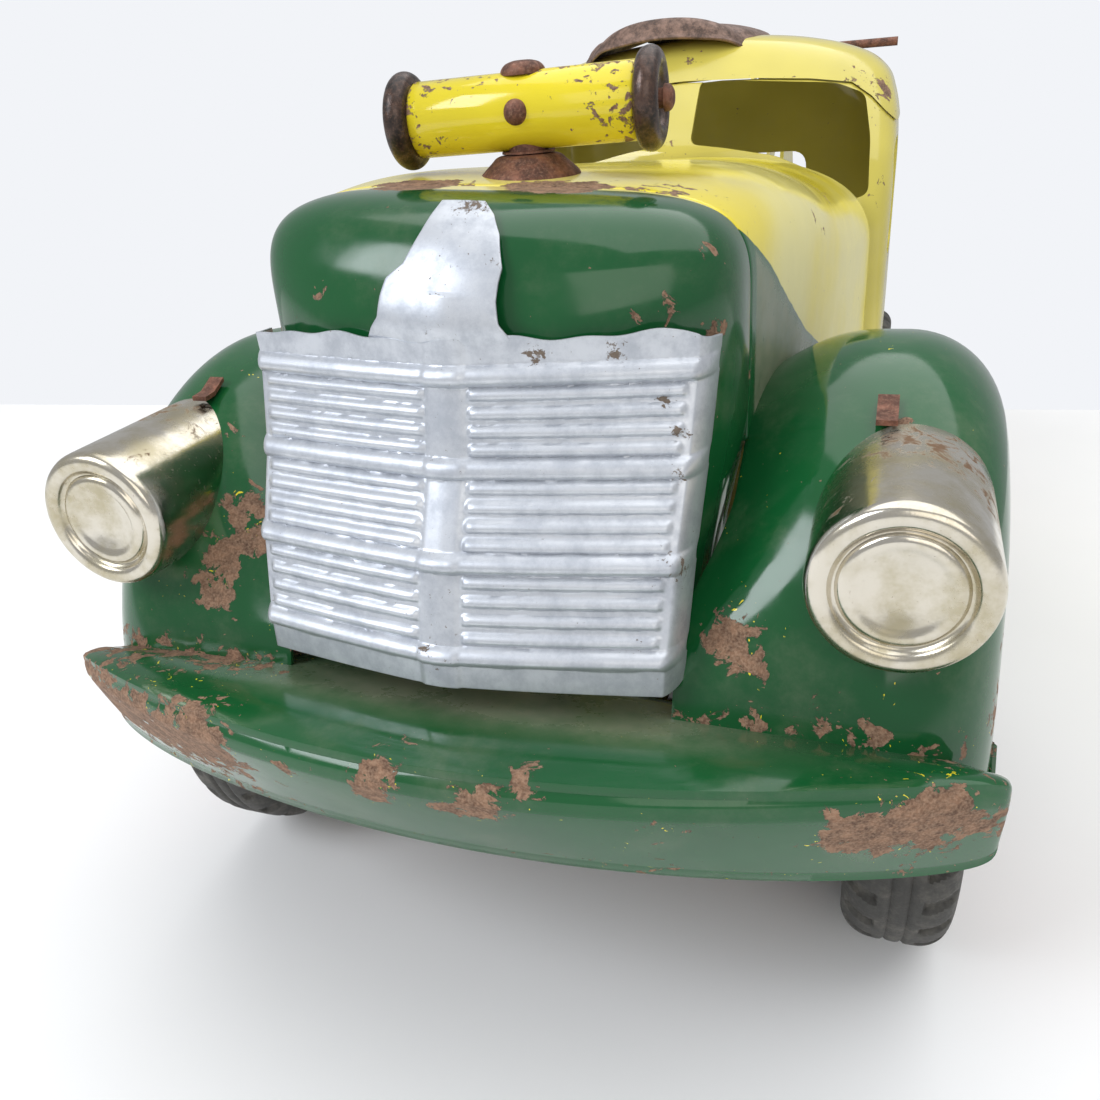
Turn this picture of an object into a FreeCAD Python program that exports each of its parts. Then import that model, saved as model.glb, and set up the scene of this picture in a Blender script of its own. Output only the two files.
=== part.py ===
import FreeCAD, Part
import math
import os
import Sketcher
from FreeCAD import Rotation, Vector

# Ride-on pressed-steel tow truck. +X is the truck's left, +Y its tail, +Z up.
# The origin is on the ground, under the middle of the truck.

SIZES = {
    "gauge": (1.2, "thickness of the body sheet"),
    "nose_tip": (-290, "front of the bumper along Y"),
    "tail": (290, "rear end along Y"),
    "axle_height": (54, "height of both axles"),
    "tyre_radius": (54, "tyre outer radius"),
    "tyre_width": (28, "tyre width"),
    "rim_radius": (37, "radius where the tyre meets the disc"),
    "axle_radius": (4, "radius of both axles"),
    "fit": (0.06, "running clearance on a radius"),
    "front_axle": (-185, "front axle and steering post along Y"),
    "rear_axle": (137, "rear axle along Y"),
    "front_track": (102, "front wheel middle from the centre line"),
    "rear_track": (75, "rear wheel middle from the centre line"),
    "lamp_side": (94.2, "headlamp axis from the centre line"),
    "lamp_height": (142, "headlamp axis height"),
    "lamp_face": (-259, "headlamp face along Y"),
    "lamp_radius": (18, "headlamp face radius"),
    "lamp_depth": (44, "headlamp can length"),
    "hood_front": (-205, "seam between nose and hood"),
    "cowl": (-22, "rear edge of the hood"),
    "hood_top_front": (211.5, "hood height at the nose seam"),
    "hood_top_rear": (206, "hood height at the cowl"),
    "hood_half_front": (57.6, "hood half width at the nose seam"),
    "hood_half_rear": (78, "hood half width at the cowl"),
    "grille_half": (52.7, "half width of the grille face at its top"),
    "grille_low_half": (48.6, "half width of the grille face at its foot"),
    "grille_foot": (113, "height of the grille foot"),
    "grille_head": (186, "height of the grille top"),
    "cab_half": (85, "cab half width"),
    "cab_rear": (100, "back of the cab along Y"),
    "roof_top": (247, "height of the roof crown"),
    "post_radius": (5, "steering post radius"),
    "handle_height": (226.8, "height of the handle tube axis"),
    "handle_radius": (8.8, "handle tube radius"),
    "handle_half": (28, "half length of the handle tube"),
    "disc_radius": (11.2, "end disc radius"),
    "disc_width": (6, "end disc thickness"),
    "frame_low": (64, "underside of the chassis frame"),
    "frame_deep": (12, "depth of the chassis frame"),
    "frame_half": (38, "half width of the chassis frame"),
    "board_low": (62, "underside of the running boards"),
    "deck_low": (112, "underside of the bed deck"),
    "deck_half": (80, "half width of the bed"),
    "deck_front": (104, "front of the bed along Y"),
    "side_high": (26, "height of the bed sides"),
    "winch_along": (173, "winch axis along Y"),
    "winch_height": (215, "winch axis height"),
    "wire_radius": (2.15, "radius of the crank wire"),
    "crank_throw": (27.5, "height of the crank grip over the winch axis"),
    "crank_end": (80, "free end of the crank grip"),
    "crane_half": (24, "crane side plates from the centre line"),
    "boom_half": (9, "boom straps from the centre line"),
    "boom_tip_along": (274, "boom pulley axis along Y"),
    "boom_tip_height": (226, "boom pulley axis height"),
    "seat_half": (40, "saddle seat half width"),
    "seat_shift": (-9, "how far the saddle seat sits off the middle"),
    "seat_top": (254, "saddle seat height"),
}

doc = FreeCAD.newDocument("tow_truck")
sheet = doc.addObject("Spreadsheet::Sheet", "sizes")
for row, (alias, (value, note)) in enumerate(SIZES.items(), start=1):
    sheet.set("A%d" % row, str(value))
    sheet.setAlias("A%d" % row, alias)
    sheet.set("B%d" % row, note)
doc.recompute()

pieces = []
SIDES = (("left", 1), ("right", -1))


def size(alias):
    """Value of one cell of the sheet."""
    return float(getattr(sheet, alias))


def reckon(text):
    """Value of an expression on the sheet."""
    return float(sheet.evalExpression(str(text)))


def bind(obj, path, text):
    """Bind a property to an expression on the sheet."""
    for alias in sorted(SIZES, key=len, reverse=True):
        text = text.replace(alias, "<<%s>>" % alias.upper())
    for alias in SIZES:
        text = text.replace("<<%s>>" % alias.upper(), "sizes." + alias)
    obj.setExpression(path, text)


def put(obj, label, at):
    """Label a piece, bind where it stands and keep it for writing."""
    obj.Label = label
    for axis, text in zip("xyz", at):
        bind(obj, ".Placement.Base." + axis, str(text))
    pieces.append(obj)
    return obj


# ---- Sketch helpers ---------------------------------------------------------


def origin_plane(body, role):
    """One of a body's own origin planes."""
    return [f for f in body.Origin.OriginFeatures if f.Role == role][0]


def new_sketch(body, role):
    """An empty sketch on an origin plane of its own body."""
    sketch = body.newObject("Sketcher::SketchObject", "outline")
    sketch.AttachmentSupport = (origin_plane(body, role), "")
    sketch.MapMode = "FlatFace"
    return sketch


def hold_point(sketch, geo, end, across, up):
    """Hold a point of the sketch at two expressions from its origin."""
    n = sketch.addConstraint(Sketcher.Constraint("DistanceX", -1, 1, geo, end, reckon(across)))
    bind(sketch, "Constraints[%d]" % n, str(across))
    n = sketch.addConstraint(Sketcher.Constraint("DistanceY", -1, 1, geo, end, reckon(up)))
    bind(sketch, "Constraints[%d]" % n, str(up))


def add_polygon(sketch, points):
    """A closed polygon whose corners are held at pairs of expressions."""
    first = sketch.GeometryCount
    spots = [Vector(reckon(a), reckon(b), 0) for a, b in points]
    count = len(points)
    for i in range(count):
        sketch.addGeometry(Part.LineSegment(spots[i], spots[(i + 1) % count]))
    for i in range(count):
        after = first + (i + 1) % count
        sketch.addConstraint(Sketcher.Constraint("Coincident", first + i, 2, after, 1))
    for i, (across, up) in enumerate(points):
        hold_point(sketch, first + i, 1, across, up)


def add_circle(sketch, across, up, radius):
    """A circle held by its centre and radius."""
    spot = Vector(reckon(across), reckon(up), 0)
    geo = sketch.addGeometry(Part.Circle(spot, Vector(0, 0, 1), reckon(radius)))
    n = sketch.addConstraint(Sketcher.Constraint("Radius", geo, reckon(radius)))
    bind(sketch, "Constraints[%d]" % n, str(radius))
    hold_point(sketch, geo, 3, across, up)


def plate(label, at, role, points, thick, holes=()):
    """A flat piece: a polygon with round holes, padded both ways from its plane."""
    body = doc.addObject("PartDesign::Body", label)
    sketch = new_sketch(body, role)
    add_polygon(sketch, points)
    for across, up, radius in holes:
        add_circle(sketch, across, up, radius)
    pad = body.newObject("PartDesign::Pad", "thickness")
    pad.Profile = sketch
    pad.Midplane = True
    bind(pad, "Length", str(thick))
    return put(body, label, at)


def turned(label, at, axle, points):
    """A turned piece: a polygon of (radius, along) corners spun about X, Y or Z."""
    role, reference, swap = {
        "x": ("XZ_Plane", "H_Axis", True),
        "y": ("XY_Plane", "V_Axis", False),
        "z": ("XZ_Plane", "V_Axis", False),
    }[axle]
    body = doc.addObject("PartDesign::Body", label)
    sketch = new_sketch(body, role)
    add_polygon(sketch, [(b, a) if swap else (a, b) for a, b in points])
    spin = body.newObject("PartDesign::Revolution", "spin")
    spin.Profile = sketch
    spin.ReferenceAxis = (sketch, [reference])
    spin.Angle = 360
    return put(body, label, at)


AXIS_TURNS = {"x": Rotation(Vector(0, 1, 0), 90), "y": Rotation(Vector(1, 0, 0), -90), "z": Rotation()}


def rod(label, at, axle, radius, length):
    """A plain round rod that starts at a point and runs along +X, +Y or +Z."""
    cylinder = doc.addObject("Part::Cylinder", label)
    cylinder.Placement = FreeCAD.Placement(Vector(), AXIS_TURNS[axle])
    bind(cylinder, "Radius", str(radius))
    bind(cylinder, "Height", str(length))
    return put(cylinder, label, at)


def block(label, at, wide, deep, high):
    """A plain bar whose low corner is at a point."""
    box = doc.addObject("Part::Box", label)
    bind(box, "Length", str(wide))
    bind(box, "Width", str(deep))
    bind(box, "Height", str(high))
    return put(box, label, at)


def grouped(label, members):
    """Several like pieces of one body as a single node."""
    group = doc.addObject("Part::Compound", label)
    group.Links = members
    for member in members:
        pieces.remove(member)
    group.Label = label
    pieces.append(group)
    return group


def drilled(label, base, tools):
    """A piece with other solids cut out of it."""
    base.Label = label + "_blank"
    cut = doc.addObject("Part::Cut", label)
    cut.Base = base
    cut.Tool = grouped(label + "_holes", tools)
    pieces.remove(cut.Tool)
    pieces.remove(base)
    cut.Label = label
    pieces.append(cut)
    return cut


def formed(label, shape):
    """A drawn sheet piece with no simpler way to make it."""
    feature = doc.addObject("Part::Feature", label)
    feature.Shape = shape
    feature.Placement = FreeCAD.Placement()
    feature.Label = label
    pieces.append(feature)
    return feature


# ---- Drawn sheet helpers ----------------------------------------------------


def inner_line(points, gauge):
    """The points moved inwards by the gauge, square to the line through them."""
    moved = []
    for i, (a, b) in enumerate(points):
        before = points[max(i - 1, 0)]
        after = points[min(i + 1, len(points) - 1)]
        da, db = after[0] - before[0], after[1] - before[1]
        length = math.hypot(da, db)
        moved.append((a + gauge * db / length, b - gauge * da / length))
    return moved


def band_wire(points, gauge, place):
    """Closed wire: a smooth line, the same line one gauge inwards, and both ends."""
    outside = [place(a, b) for a, b in points]
    inside = [place(a, b) for a, b in inner_line(points, gauge)]
    outer_curve = Part.BSplineCurve()
    outer_curve.interpolate(outside)
    inner_curve = Part.BSplineCurve()
    inner_curve.interpolate(inside)
    edges = [
        outer_curve.toShape(),
        Part.makeLine(outside[-1], inside[-1]),
        inner_curve.toShape(),
        Part.makeLine(inside[0], outside[0]),
    ]
    return Part.Wire(Part.__sortEdges__(edges))


def arch_points(half, foot, shoulder, top, steps=6, power=2.6):
    """Right foot to left foot: straight sides up to the shoulder, then a superellipse."""
    right = [(half, foot), (half, (foot + shoulder) / 2)]
    for i in range(steps):
        turn = math.radians(90.0 * i / steps)
        across = half * math.cos(turn) ** (2 / power)
        right.append((across, shoulder + (top - shoulder) * math.sin(turn) ** (2 / power)))
    return right + [(0, top)] + [(-a, b) for a, b in reversed(right)]


def arch_wire(half, foot, shoulder, top, along):
    """Closed wire across the truck: an arch and its foot line."""
    points = [Vector(a, along, b) for a, b in arch_points(half, foot, shoulder, top)]
    curve = Part.BSplineCurve()
    curve.interpolate(points)
    return Part.Wire([curve.toShape(), Part.makeLine(points[-1], points[0])])


def polygon_wire(points):
    """Closed wire through points in space."""
    return Part.makePolygon(points + [points[0]])


def prism(points, along, depth):
    """A flat polygon carried straight along a vector."""
    return Part.Face(polygon_wire(points)).extrude(along * depth)


# ---- Front body -------------------------------------------------------------


def make_hood():
    """Arched sheet from the nose seam back to the cowl, widening as it goes."""
    rear_half = size("hood_half_rear")
    stations = [
        (size("hood_front") + 0.2, size("hood_half_front"), 112, 184, size("hood_top_front")),
        ((size("hood_front") + size("cowl")) / 2, 68, 108, 176, 209.5),
        (size("cowl"), rear_half, 100, 166, size("hood_top_rear")),
    ]
    wires = []
    for along, half, foot, shoulder, top in stations:
        points = arch_points(half, foot, shoulder, top)
        wires.append(band_wire(points, -size("gauge"), lambda a, b, y=along: Vector(a, y, b)))
    shell = Part.makeLoft(wires, True, False)
    hole = Part.makeCylinder(6.55, 60, Vector(0, size("front_axle"), 180))
    return shell.cut(hole)


def hood_outline():
    """The space the hood and nose fill, a little larger, down to the ground."""
    front, rear, gap = size("hood_half_front") + 0.35, size("hood_half_rear") + 0.35, 0.35
    middle = (size("hood_front") + size("cowl")) / 2
    wires = [
        arch_wire(front, 0, 184, size("hood_top_front") + gap, size("hood_front")),
        arch_wire(68 + gap, 0, 176, 209.5 + gap, middle),
        arch_wire(rear, 0, 166, size("hood_top_rear") + gap, size("cowl") + 1),
    ]
    nose = Part.Face(arch_wire(front, 0, 184, size("hood_top_front") + gap, size("hood_front") + 0.1))
    return Part.makeLoft(wires, True, False).fuse(nose.extrude(Vector(0, -20, 0)))


def make_nose():
    """Rounded stamping in front of the hood, closed at the front and open below."""
    gauge = size("gauge")
    top, half = size("hood_top_front"), size("hood_half_front")
    outer_stations = [
        (half, 112, 184, top, size("hood_front")),
        (half - 0.4, 112, 181, top - 0.8, -219),
        (half - 2.5, 112, 170, top - 5, -232),
        (half - 6, 112, 156, top - 13, -240),
        (half - 10, 112, 146, top - 24, -244),
    ]
    outer = Part.makeLoft([arch_wire(*s) for s in outer_stations], True, False)
    inner_stations = []
    for half_wide, foot, shoulder, high, along in outer_stations:
        inner_stations.append((half_wide - gauge, foot - 2, shoulder, high - gauge, along + gauge))
    inner_stations[0] = inner_stations[0][:4] + (size("hood_front") + 1,)
    inner = Part.makeLoft([arch_wire(*s) for s in inner_stations], True, False)
    behind_grille = Part.makeBox(140, 78, 107, Vector(-70, -304, 80))
    return outer.cut(inner).cut(behind_grille)


def grille_profile(half_share):
    """Grille line from head to foot as (along, height); half_share 0 is the centre."""
    centre = [(-246, 186), (-246.5, 179), (-251, 159), (-260, 141), (-266, 120), (-267, 113)]
    edge = [(-237, 186), (-236.5, 179), (-243, 159), (-252, 141), (-258, 120), (-259, 113)]
    return [(c[0] + (e[0] - c[0]) * half_share, c[1]) for c, e in zip(centre, edge)]


def half_at(height):
    """Half width of the grille face at a height."""
    share = (height - size("grille_foot")) / (size("grille_head") - size("grille_foot"))
    return size("grille_low_half") + share * (size("grille_half") - size("grille_low_half"))


def face_along(height, share):
    """Where the grille face is along Y at a height, for a share of the half width."""
    line = grille_profile(share)
    for (y_high, z_high), (y_low, z_low) in zip(line, line[1:]):
        if z_low <= height <= z_high:
            return y_low + (y_high - y_low) * (height - z_low) / (z_high - z_low)
    raise ValueError("height off the grille")


def grille_ribs():
    """Four full-width beads and the thin ribs between them, broken at the centre."""
    beads = [178, 159, 140.5, 120.5]
    ribs = []
    for high, low in zip(beads, beads[1:]):
        ribs += [high + (low - high) * k / 5.0 for k in range(1, 5)]
    solids = []
    for height, radius, start in [(z, 1.9, 0.0) for z in beads] + [(z, 1.2, 0.1) for z in ribs]:
        for side in (-1, 1):
            inside = Vector(side * start * half_at(height), face_along(height, start), height)
            outside = Vector(side * half_at(height), face_along(height, 1), height)
            solids.append(Part.makeCylinder(radius, (outside - inside).Length, inside, outside - inside))
    return solids


def make_grille():
    """V-shaped face with ribs, flanges wrapped round the nose, and a tongue over it."""
    gauge = size("gauge")
    stations = [(-1, 9, 3.4), (-1, 0, 0), (0, 0, 0), (1, 0, 0), (1, 9, 3.4)]
    wires = []
    for side, back, out in stations:
        front = [(y + back, z) for y, z in grille_profile(abs(side))]
        rear = [(y + gauge * 1.2, z) for y, z in reversed(front)]
        line = [Vector(side * (half_at(z) + out), y, z) for y, z in front + rear]
        wires.append(polygon_wire(line))
    face = Part.makeLoft(wires, True, True)
    tongue_line = [(-246.8, 181), (-246, 188), (-242.2, 199.4), (-233.4, 209), (-229, 211.6)]
    band = band_wire(tongue_line, gauge, lambda a, b: Vector(-14, a, b))
    strip = Part.Face(band).extrude(Vector(28, 0, 0))
    outline = [Vector(-14, -300, 180), Vector(14, -300, 180), Vector(12, -300, 196), Vector(5.5, -300, 214)]
    outline += [Vector(-5.5, -300, 214), Vector(-12, -300, 196)]
    tongue = strip.common(prism(outline, Vector(0, 1, 0), 120))
    return face.multiFuse(grille_ribs() + [tongue]).removeSplitter()


def bumper_line(across):
    """Bumper section at a distance from the centre line, from its back edge to its lip."""
    half = 118.0
    ridge = size("nose_tip") + 0.0019 * across ** 2
    shelf = -243 - 9 * (across / half) ** 2
    low = -276 + 0.0015 * across ** 2
    deep = shelf - ridge
    return [
        (shelf, 101), (ridge + 0.5 * deep, 105.5), (ridge + 0.2 * deep, 108), (ridge + 0.06 * deep, 106.5),
        (ridge, 102), (low, 75.5),
    ]


def bumper_stations():
    """Distances from the centre line where the bumper's section is set."""
    return [118.0 * (i / 6.0 - 1) for i in range(13)]


def make_bumper():
    """Bowed shelf and face: wide over the tyres, with its ends swept back."""
    wires = []
    for across in bumper_stations():
        line = bumper_line(across)
        rear = list(reversed(inner_line(line, -size("gauge"))))
        wires.append(polygon_wire([Vector(across, a, b) for a, b in line + rear]))
    return Part.makeLoft(wires, True, True)


def under_bumper():
    """The space the bumper covers, a little larger and down to the ground."""
    wires = []
    for across in bumper_stations():
        line = bumper_line(across)[:5]
        top = [Vector(across, a, b + 0.7) for a, b in line]
        foot = [Vector(across, line[-1][0] - 1, 20), Vector(across, line[0][0] + 0.5, 20)]
        wires.append(polygon_wire(top + foot))
    return Part.makeLoft(wires, True, True)


def wheel_way(along, radius, travel):
    """Room for a wheel that spins and, in front, swings with the steering."""
    height = size("axle_height")
    ends = []
    for shift in (-travel, travel):
        start = Vector(-130, along + shift, height)
        ends.append(Part.makeCylinder(radius, 260, start, Vector(1, 0, 0)))
    if not travel:
        return ends[0]
    between = Part.makeBox(260, 2 * travel, 2 * radius, Vector(-130, along - travel, height - radius))
    return ends[0].multiFuse([ends[1], between])


def lamp_way(side):
    """The bore in a fender that a headlamp can is set into."""
    start = Vector(side * size("lamp_side"), size("lamp_face") - 5, size("lamp_height"))
    return Part.makeCylinder(size("lamp_radius") + 0.75, size("lamp_depth") + 7, start, Vector(0, 1, 0))


def make_fender(side):
    """Pontoon sheet over the front wheel, laid out round an axis across the truck."""
    base = Vector(0, -176, 78)
    inner, outer = 56.0, 117.0
    stations = [(178, 83), (152, 84), (125, 90), (97, 92.5), (70, 91), (42, 92), (18, 100), (-5, 108)]
    wires = []
    for degrees, reach in stations:
        turn = math.radians(degrees)
        out = Vector(0, math.cos(turn), math.sin(turn))
        line = [(inner, reach - 20), (inner + 4, reach - 12), (inner + 15, reach - 3), (inner + 31, reach)]
        line += [(outer - 14, reach - 1.5), (outer - 4, reach - 7), (outer - 0.6, reach - 17), (outer, reach - 30)]
        wires.append(band_wire(
            line, size("gauge"), lambda a, b, o=out: Vector(side * a, 0, 0) + base + o * b))
    sheet_metal = Part.makeLoft(wires, True, False)
    for way in (hood_outline(), under_bumper(), wheel_way(size("front_axle"), 58, 18), lamp_way(side)):
        sheet_metal = sheet_metal.cut(way)
    return max(sheet_metal.Solids, key=lambda solid: solid.Volume)


# ---- Cab --------------------------------------------------------------------


def cab_ring(half, front_centre, front_side, rear, height, inset=0.0):
    """Plan of the cab at one height: a shallow V in front and rounded corners."""
    half, front_centre, front_side = half - inset, front_centre + inset, front_side + inset
    rear = rear - inset
    corner = min(12.0, half / 2)
    right = [
        (0.0, front_centre),
        ((half - corner) / 2, (front_centre + front_side) / 2 - 1.5),
        (half - corner, front_side),
        (half - 0.25 * corner, front_side + 0.35 * corner),
        (half, front_side + corner),
        (half, rear - corner),
        (half - 0.3 * corner, rear - 0.3 * corner),
        (half - corner, rear),
        (0.0, rear),
    ]
    left = [(-a, b) for a, b in reversed(right[1:-1])]
    return polygon_wire([Vector(a, b, height) for a, b in right + left])


CAB_LEVELS = [
    (84, -22, -18, 0, 68),
    (85, -22, -18, 0, 120),
    (85, -22, -15, 0, 183),
    (85, -22, 0, 0, 206),
    (82, -8, 10, 0, 220),
    (78, 6, 18, -1, 229),
    (66, 14, 24, -3, 236),
    (46, 17, 27, -6, 241.5),
    (24, 19, 29, -10, 245.5),
    (6, 24, 30, -16, 247),
]


def cab_solid(inset):
    """The cab as one filled form, moved inwards by an inset."""
    rings = []
    for half, centre, side, back, height in CAB_LEVELS:
        low = height - (5.0 if inset and height == 68 else 0.0)
        rings.append(cab_ring(half, centre, side, size("cab_rear") + back, low - inset, inset))
    return Part.makeLoft(rings, True, True)


def window_cuts():
    """Prisms through the two windscreens, the side windows and the rear window."""
    screen = [(5, 209), (34, 205), (53, 199), (66, 190), (70, 205), (68, 221), (60, 225), (5, 229)]
    cuts = []
    for side in (-1, 1):
        corners = [Vector(side * a, -60, b) for a, b in screen]
        cuts.append(prism(corners, Vector(0, 1, 0), 110))
    side_window = [(0, 162), (46, 162), (46, 200), (42, 204), (14, 204), (6, 196)]
    corners = [Vector(-120, a, b) for a, b in side_window]
    cuts.append(prism(corners, Vector(1, 0, 0), 240))
    rear_window = Part.makeBox(84, 30, 32, Vector(-42, size("cab_rear") - 15, 164))
    upright = [e for e in rear_window.Edges if abs(e.tangentAt(e.FirstParameter).y) > 0.9]
    cuts.append(rear_window.makeFillet(7, upright))
    return cuts


def seam_solid():
    """Everything over the roof seam: high over the screens, lower along the sides."""
    line = [(-130, 212), (-84, 212), (-76, 218), (-66, 226), (-40, 229), (0, 231)]
    line += [(-a, b) for a, b in reversed(line[:-1])]
    corners = [Vector(a, -100, b) for a, b in line + [(130, 300), (-130, 300)]]
    return prism(corners, Vector(0, 1, 0), 300)


def make_cab():
    """Cab body, roof and back panel from one hollow form."""
    shell = cab_solid(0).cut(cab_solid(size("gauge")))
    floor_open = Part.makeBox(300, 300, 3, Vector(-150, -150, 66))
    over_frame = Part.makeBox(77, 30, 20, Vector(-38.5, -40, 56.3))
    for opening in window_cuts() + [floor_open, over_frame, wheel_way(size("rear_axle"), 59, 0)]:
        shell = shell.cut(opening)
    roof = shell.common(seam_solid())
    lower = shell.cut(seam_solid())
    back_zone = Part.makeBox(146, 30, 200, Vector(-73, size("cab_rear") - 8, 60))
    half, top, front = size("hood_half_rear") - 1, size("hood_top_rear") - 1, size("cowl")
    hood_way = Part.makeLoft(
        [arch_wire(half, 90, 166, top, front - 20), arch_wire(half, 90, 166, top, front + 22)], True, False)
    body = lower.cut(back_zone).cut(hood_way)
    return body, roof, lower.common(back_zone)


# ---- Wheels and running gear --------------------------------------------------


def make_wheel(name, across, along):
    """Tyre, pressed disc and hub cap, all turned about X; the cap faces outwards."""
    out = 1 if across > 0 else -1
    at = (("%s*(%s)" % (1 if out > 0 else -1, "front_track" if along == "front_axle" else "rear_track")),
          along, "axle_height")
    half = "tyre_width/2"
    turned("tyre_" + name, at, "x", [
        ("rim_radius", "-%s+3" % half), ("tyre_radius-9", "-%s" % half),
        ("tyre_radius-3", "-%s+2.5" % half), ("tyre_radius", "-%s+6" % half),
        ("tyre_radius", "%s-6" % half), ("tyre_radius-3", "%s-2.5" % half),
        ("tyre_radius-9", half), ("rim_radius", "%s-3" % half)])
    face = str(out)
    turned("wheel_disc_" + name, at, "x", [
        ("axle_radius+fit", face + "*-11"), ("axle_radius+4", face + "*-11"), ("axle_radius+4", face + "*3"),
        ("rim_radius-12", face + "*7"), ("rim_radius-3", face + "*1"), ("rim_radius-3", face + "*-10"),
        ("rim_radius", face + "*-10"), ("rim_radius", face + "*10"), ("rim_radius-2", face + "*10"),
        ("rim_radius-4", face + "*4"), ("rim_radius-12", face + "*9"), ("axle_radius+fit", face + "*5")])
    turned("hub_cap_" + name, at, "x", [
        ("0", face + "*13"), ("6", face + "*12"), ("10", face + "*9.2"), ("12", face + "*7"),
        ("10.8", face + "*6.6"), ("9", face + "*8.4"), ("5.5", face + "*10.8"), ("0", face + "*11.8")])


def make_running_gear():
    """Frame, axles, yoke, post and its bearings."""
    plate("chassis_frame", ("0", "0", "frame_low+frame_deep/2"), "XY_Plane", [
        ("-frame_half", "-238"), ("frame_half", "-238"), ("frame_half", "280"), ("-frame_half", "280")],
        "frame_deep", [("0", "front_axle", "8.02"), ("0", "-110", "26"), ("0", "-40", "26"),
                       ("0", "40", "26"), ("0", "150", "26"), ("0", "230", "26")])
    turned("post_bush", ("0", "front_axle", "frame_low"), "z", [
        ("post_radius+fit", "0"), ("8", "0"), ("8", "frame_deep"), ("10", "frame_deep"),
        ("10", "frame_deep+2"), ("post_radius+fit", "frame_deep+2")])
    turned("hood_boss", ("0", "front_axle", "0"), "z", [
        ("post_radius+fit", "hood_top_front-2.6"), ("6.5", "hood_top_front-2.6"), ("6.5", "hood_top_front+0.1"),
        ("12.5", "hood_top_front+0.1"), ("11.6", "hood_top_front+2.2"), ("8.6", "hood_top_front+4.6"),
        ("post_radius+fit", "hood_top_front+5.6")])
    plate("axle_yoke", ("0", "front_axle", "axle_height"), "YZ_Plane", [
        ("-9", "-8"), ("9", "-8"), ("9", "7.4"), ("-9", "7.4")], "26", [("0", "0", "axle_radius+fit/3")])
    rod("front_axle", ("-front_track-tyre_width/2+4", "front_axle", "axle_height"), "x",
        "axle_radius", "2*front_track+tyre_width-8")
    rod("rear_axle", ("-rear_track-tyre_width/2+4", "rear_axle", "axle_height"), "x",
        "axle_radius", "2*rear_track+tyre_width-8")
    brackets = []
    for name, side in SIDES:
        brackets.append(plate("rear_axle_bracket_" + name, ("%d*34" % side, "rear_axle", "axle_height"), "YZ_Plane", [
            ("-16", "10"), ("-8", "-9"), ("8", "-9"), ("16", "10")], "5", [("0", "0", "axle_radius+fit/3")]))
    grouped("rear_axle_brackets", brackets)
    rod("steering_post", ("0", "front_axle", "axle_height+7.4"), "z", "post_radius", "handle_height-axle_height-9.7")
    straps = []
    for name, side in SIDES:
        straps.append(plate("bumper_strap_" + name, ("%d*28" % side, "0", "0"), "YZ_Plane", [
            ("-214", "76"), ("-243", "99.4"), ("-264", "103.4"), ("-264", "101"), ("-249", "94"), ("-236", "76")], "3"))
    grouped("bumper_straps", straps)


def make_handle():
    """Tube across the top of the post, with discs on a through rod."""
    tube = turned("handle_tube", ("0", "front_axle", "handle_height"), "x", [
        ("handle_radius-1.2", "-handle_half"), ("handle_radius", "-handle_half"),
        ("handle_radius", "handle_half"), ("handle_radius-1.2", "handle_half")])
    drilled("handle_tube", tube, [
        rod("post_hole", ("0", "front_axle", "handle_height-12"), "z", "post_radius+fit/3", "12"),
        rod("bolt_hole", ("0", "front_axle", "handle_height"), "z", "3+fit/3", "12"),
        rod("rivet_hole", ("0", "front_axle-12", "handle_height"), "y", "1.5+fit/3", "12")])
    for name, side in SIDES:
        turned("handle_disc_" + name, ("%d*(handle_half+disc_width/2)" % side, "front_axle", "handle_height"),
               "x", [("2.22", "-disc_width/2"), ("disc_radius-1.8", "-disc_width/2"),
                     ("disc_radius", "-disc_width/2+1.8"), ("disc_radius", "disc_width/2-1.8"),
                     ("disc_radius-1.8", "disc_width/2"), ("disc_radius-4", "disc_width/2"),
                     ("disc_radius-5.4", "disc_width/2-1.6"), ("2.22", "disc_width/2-1.6")])
    rod("handle_rod", ("-handle_half-disc_width-2", "front_axle", "handle_height"), "x",
        "2.2", "2*handle_half+2*disc_width+4")
    turned("handle_spacer", ("0", "front_axle", "hood_top_front+5.9"), "z", [
        ("post_radius+fit/3", "0"), ("post_radius+1.6", "0"), ("post_radius+1.6", "0.5"), ("post_radius+fit/3", "0.5")])
    bolt = turned("post_bolt", ("0", "front_axle", "handle_height+handle_radius"), "z", [
        ("0", "-6.4"), ("3", "-6.4"), ("3", "0.1"), ("5", "0.1"), ("4.6", "1.6"), ("0", "2.2")])
    rivet = turned("front_rivet", ("0", "front_axle-handle_radius", "handle_height"), "y", [
        ("0", "-1.7"), ("1.6", "-1.4"), ("2.6", "-0.3"), ("2.6", "-0.05"), ("1.5", "-0.05"), ("1.5", "2"), ("0", "2")])
    grouped("handle_fasteners", [bolt, rivet])


def make_lamps():
    """Drawn headlamp cans with the tabs that hold them."""
    clips = []
    for name, side in SIDES:
        turned("headlamp_" + name, ("%d*lamp_side" % side, "lamp_face", "lamp_height"), "y", [
            ("0", "2.2"), ("11", "1.6"), ("12", "2.6"), ("12.8", "0.8"), ("14", "0.2"), ("16.6", "0.2"),
            ("lamp_radius", "1.8"), ("lamp_radius+0.6", "lamp_depth"), ("lamp_radius-0.4", "lamp_depth"),
            ("lamp_radius-1.2", "2.8"), ("12.6", "3.4"), ("11", "2.6"), ("0", "3.2")])
        clips.append(plate("headlamp_clip_" + name, ("%d*(lamp_side-5)" % side, "lamp_face", "lamp_height"), "YZ_Plane", [
            ("40", "19.3"), ("44", "19.7"), ("49", "22.4"), ("49", "23.5"), ("44", "20.9"), ("40", "20.5")], "4.5"))
    grouped("headlamp_clips", clips)


# ---- Bed and crane ------------------------------------------------------------


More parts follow.
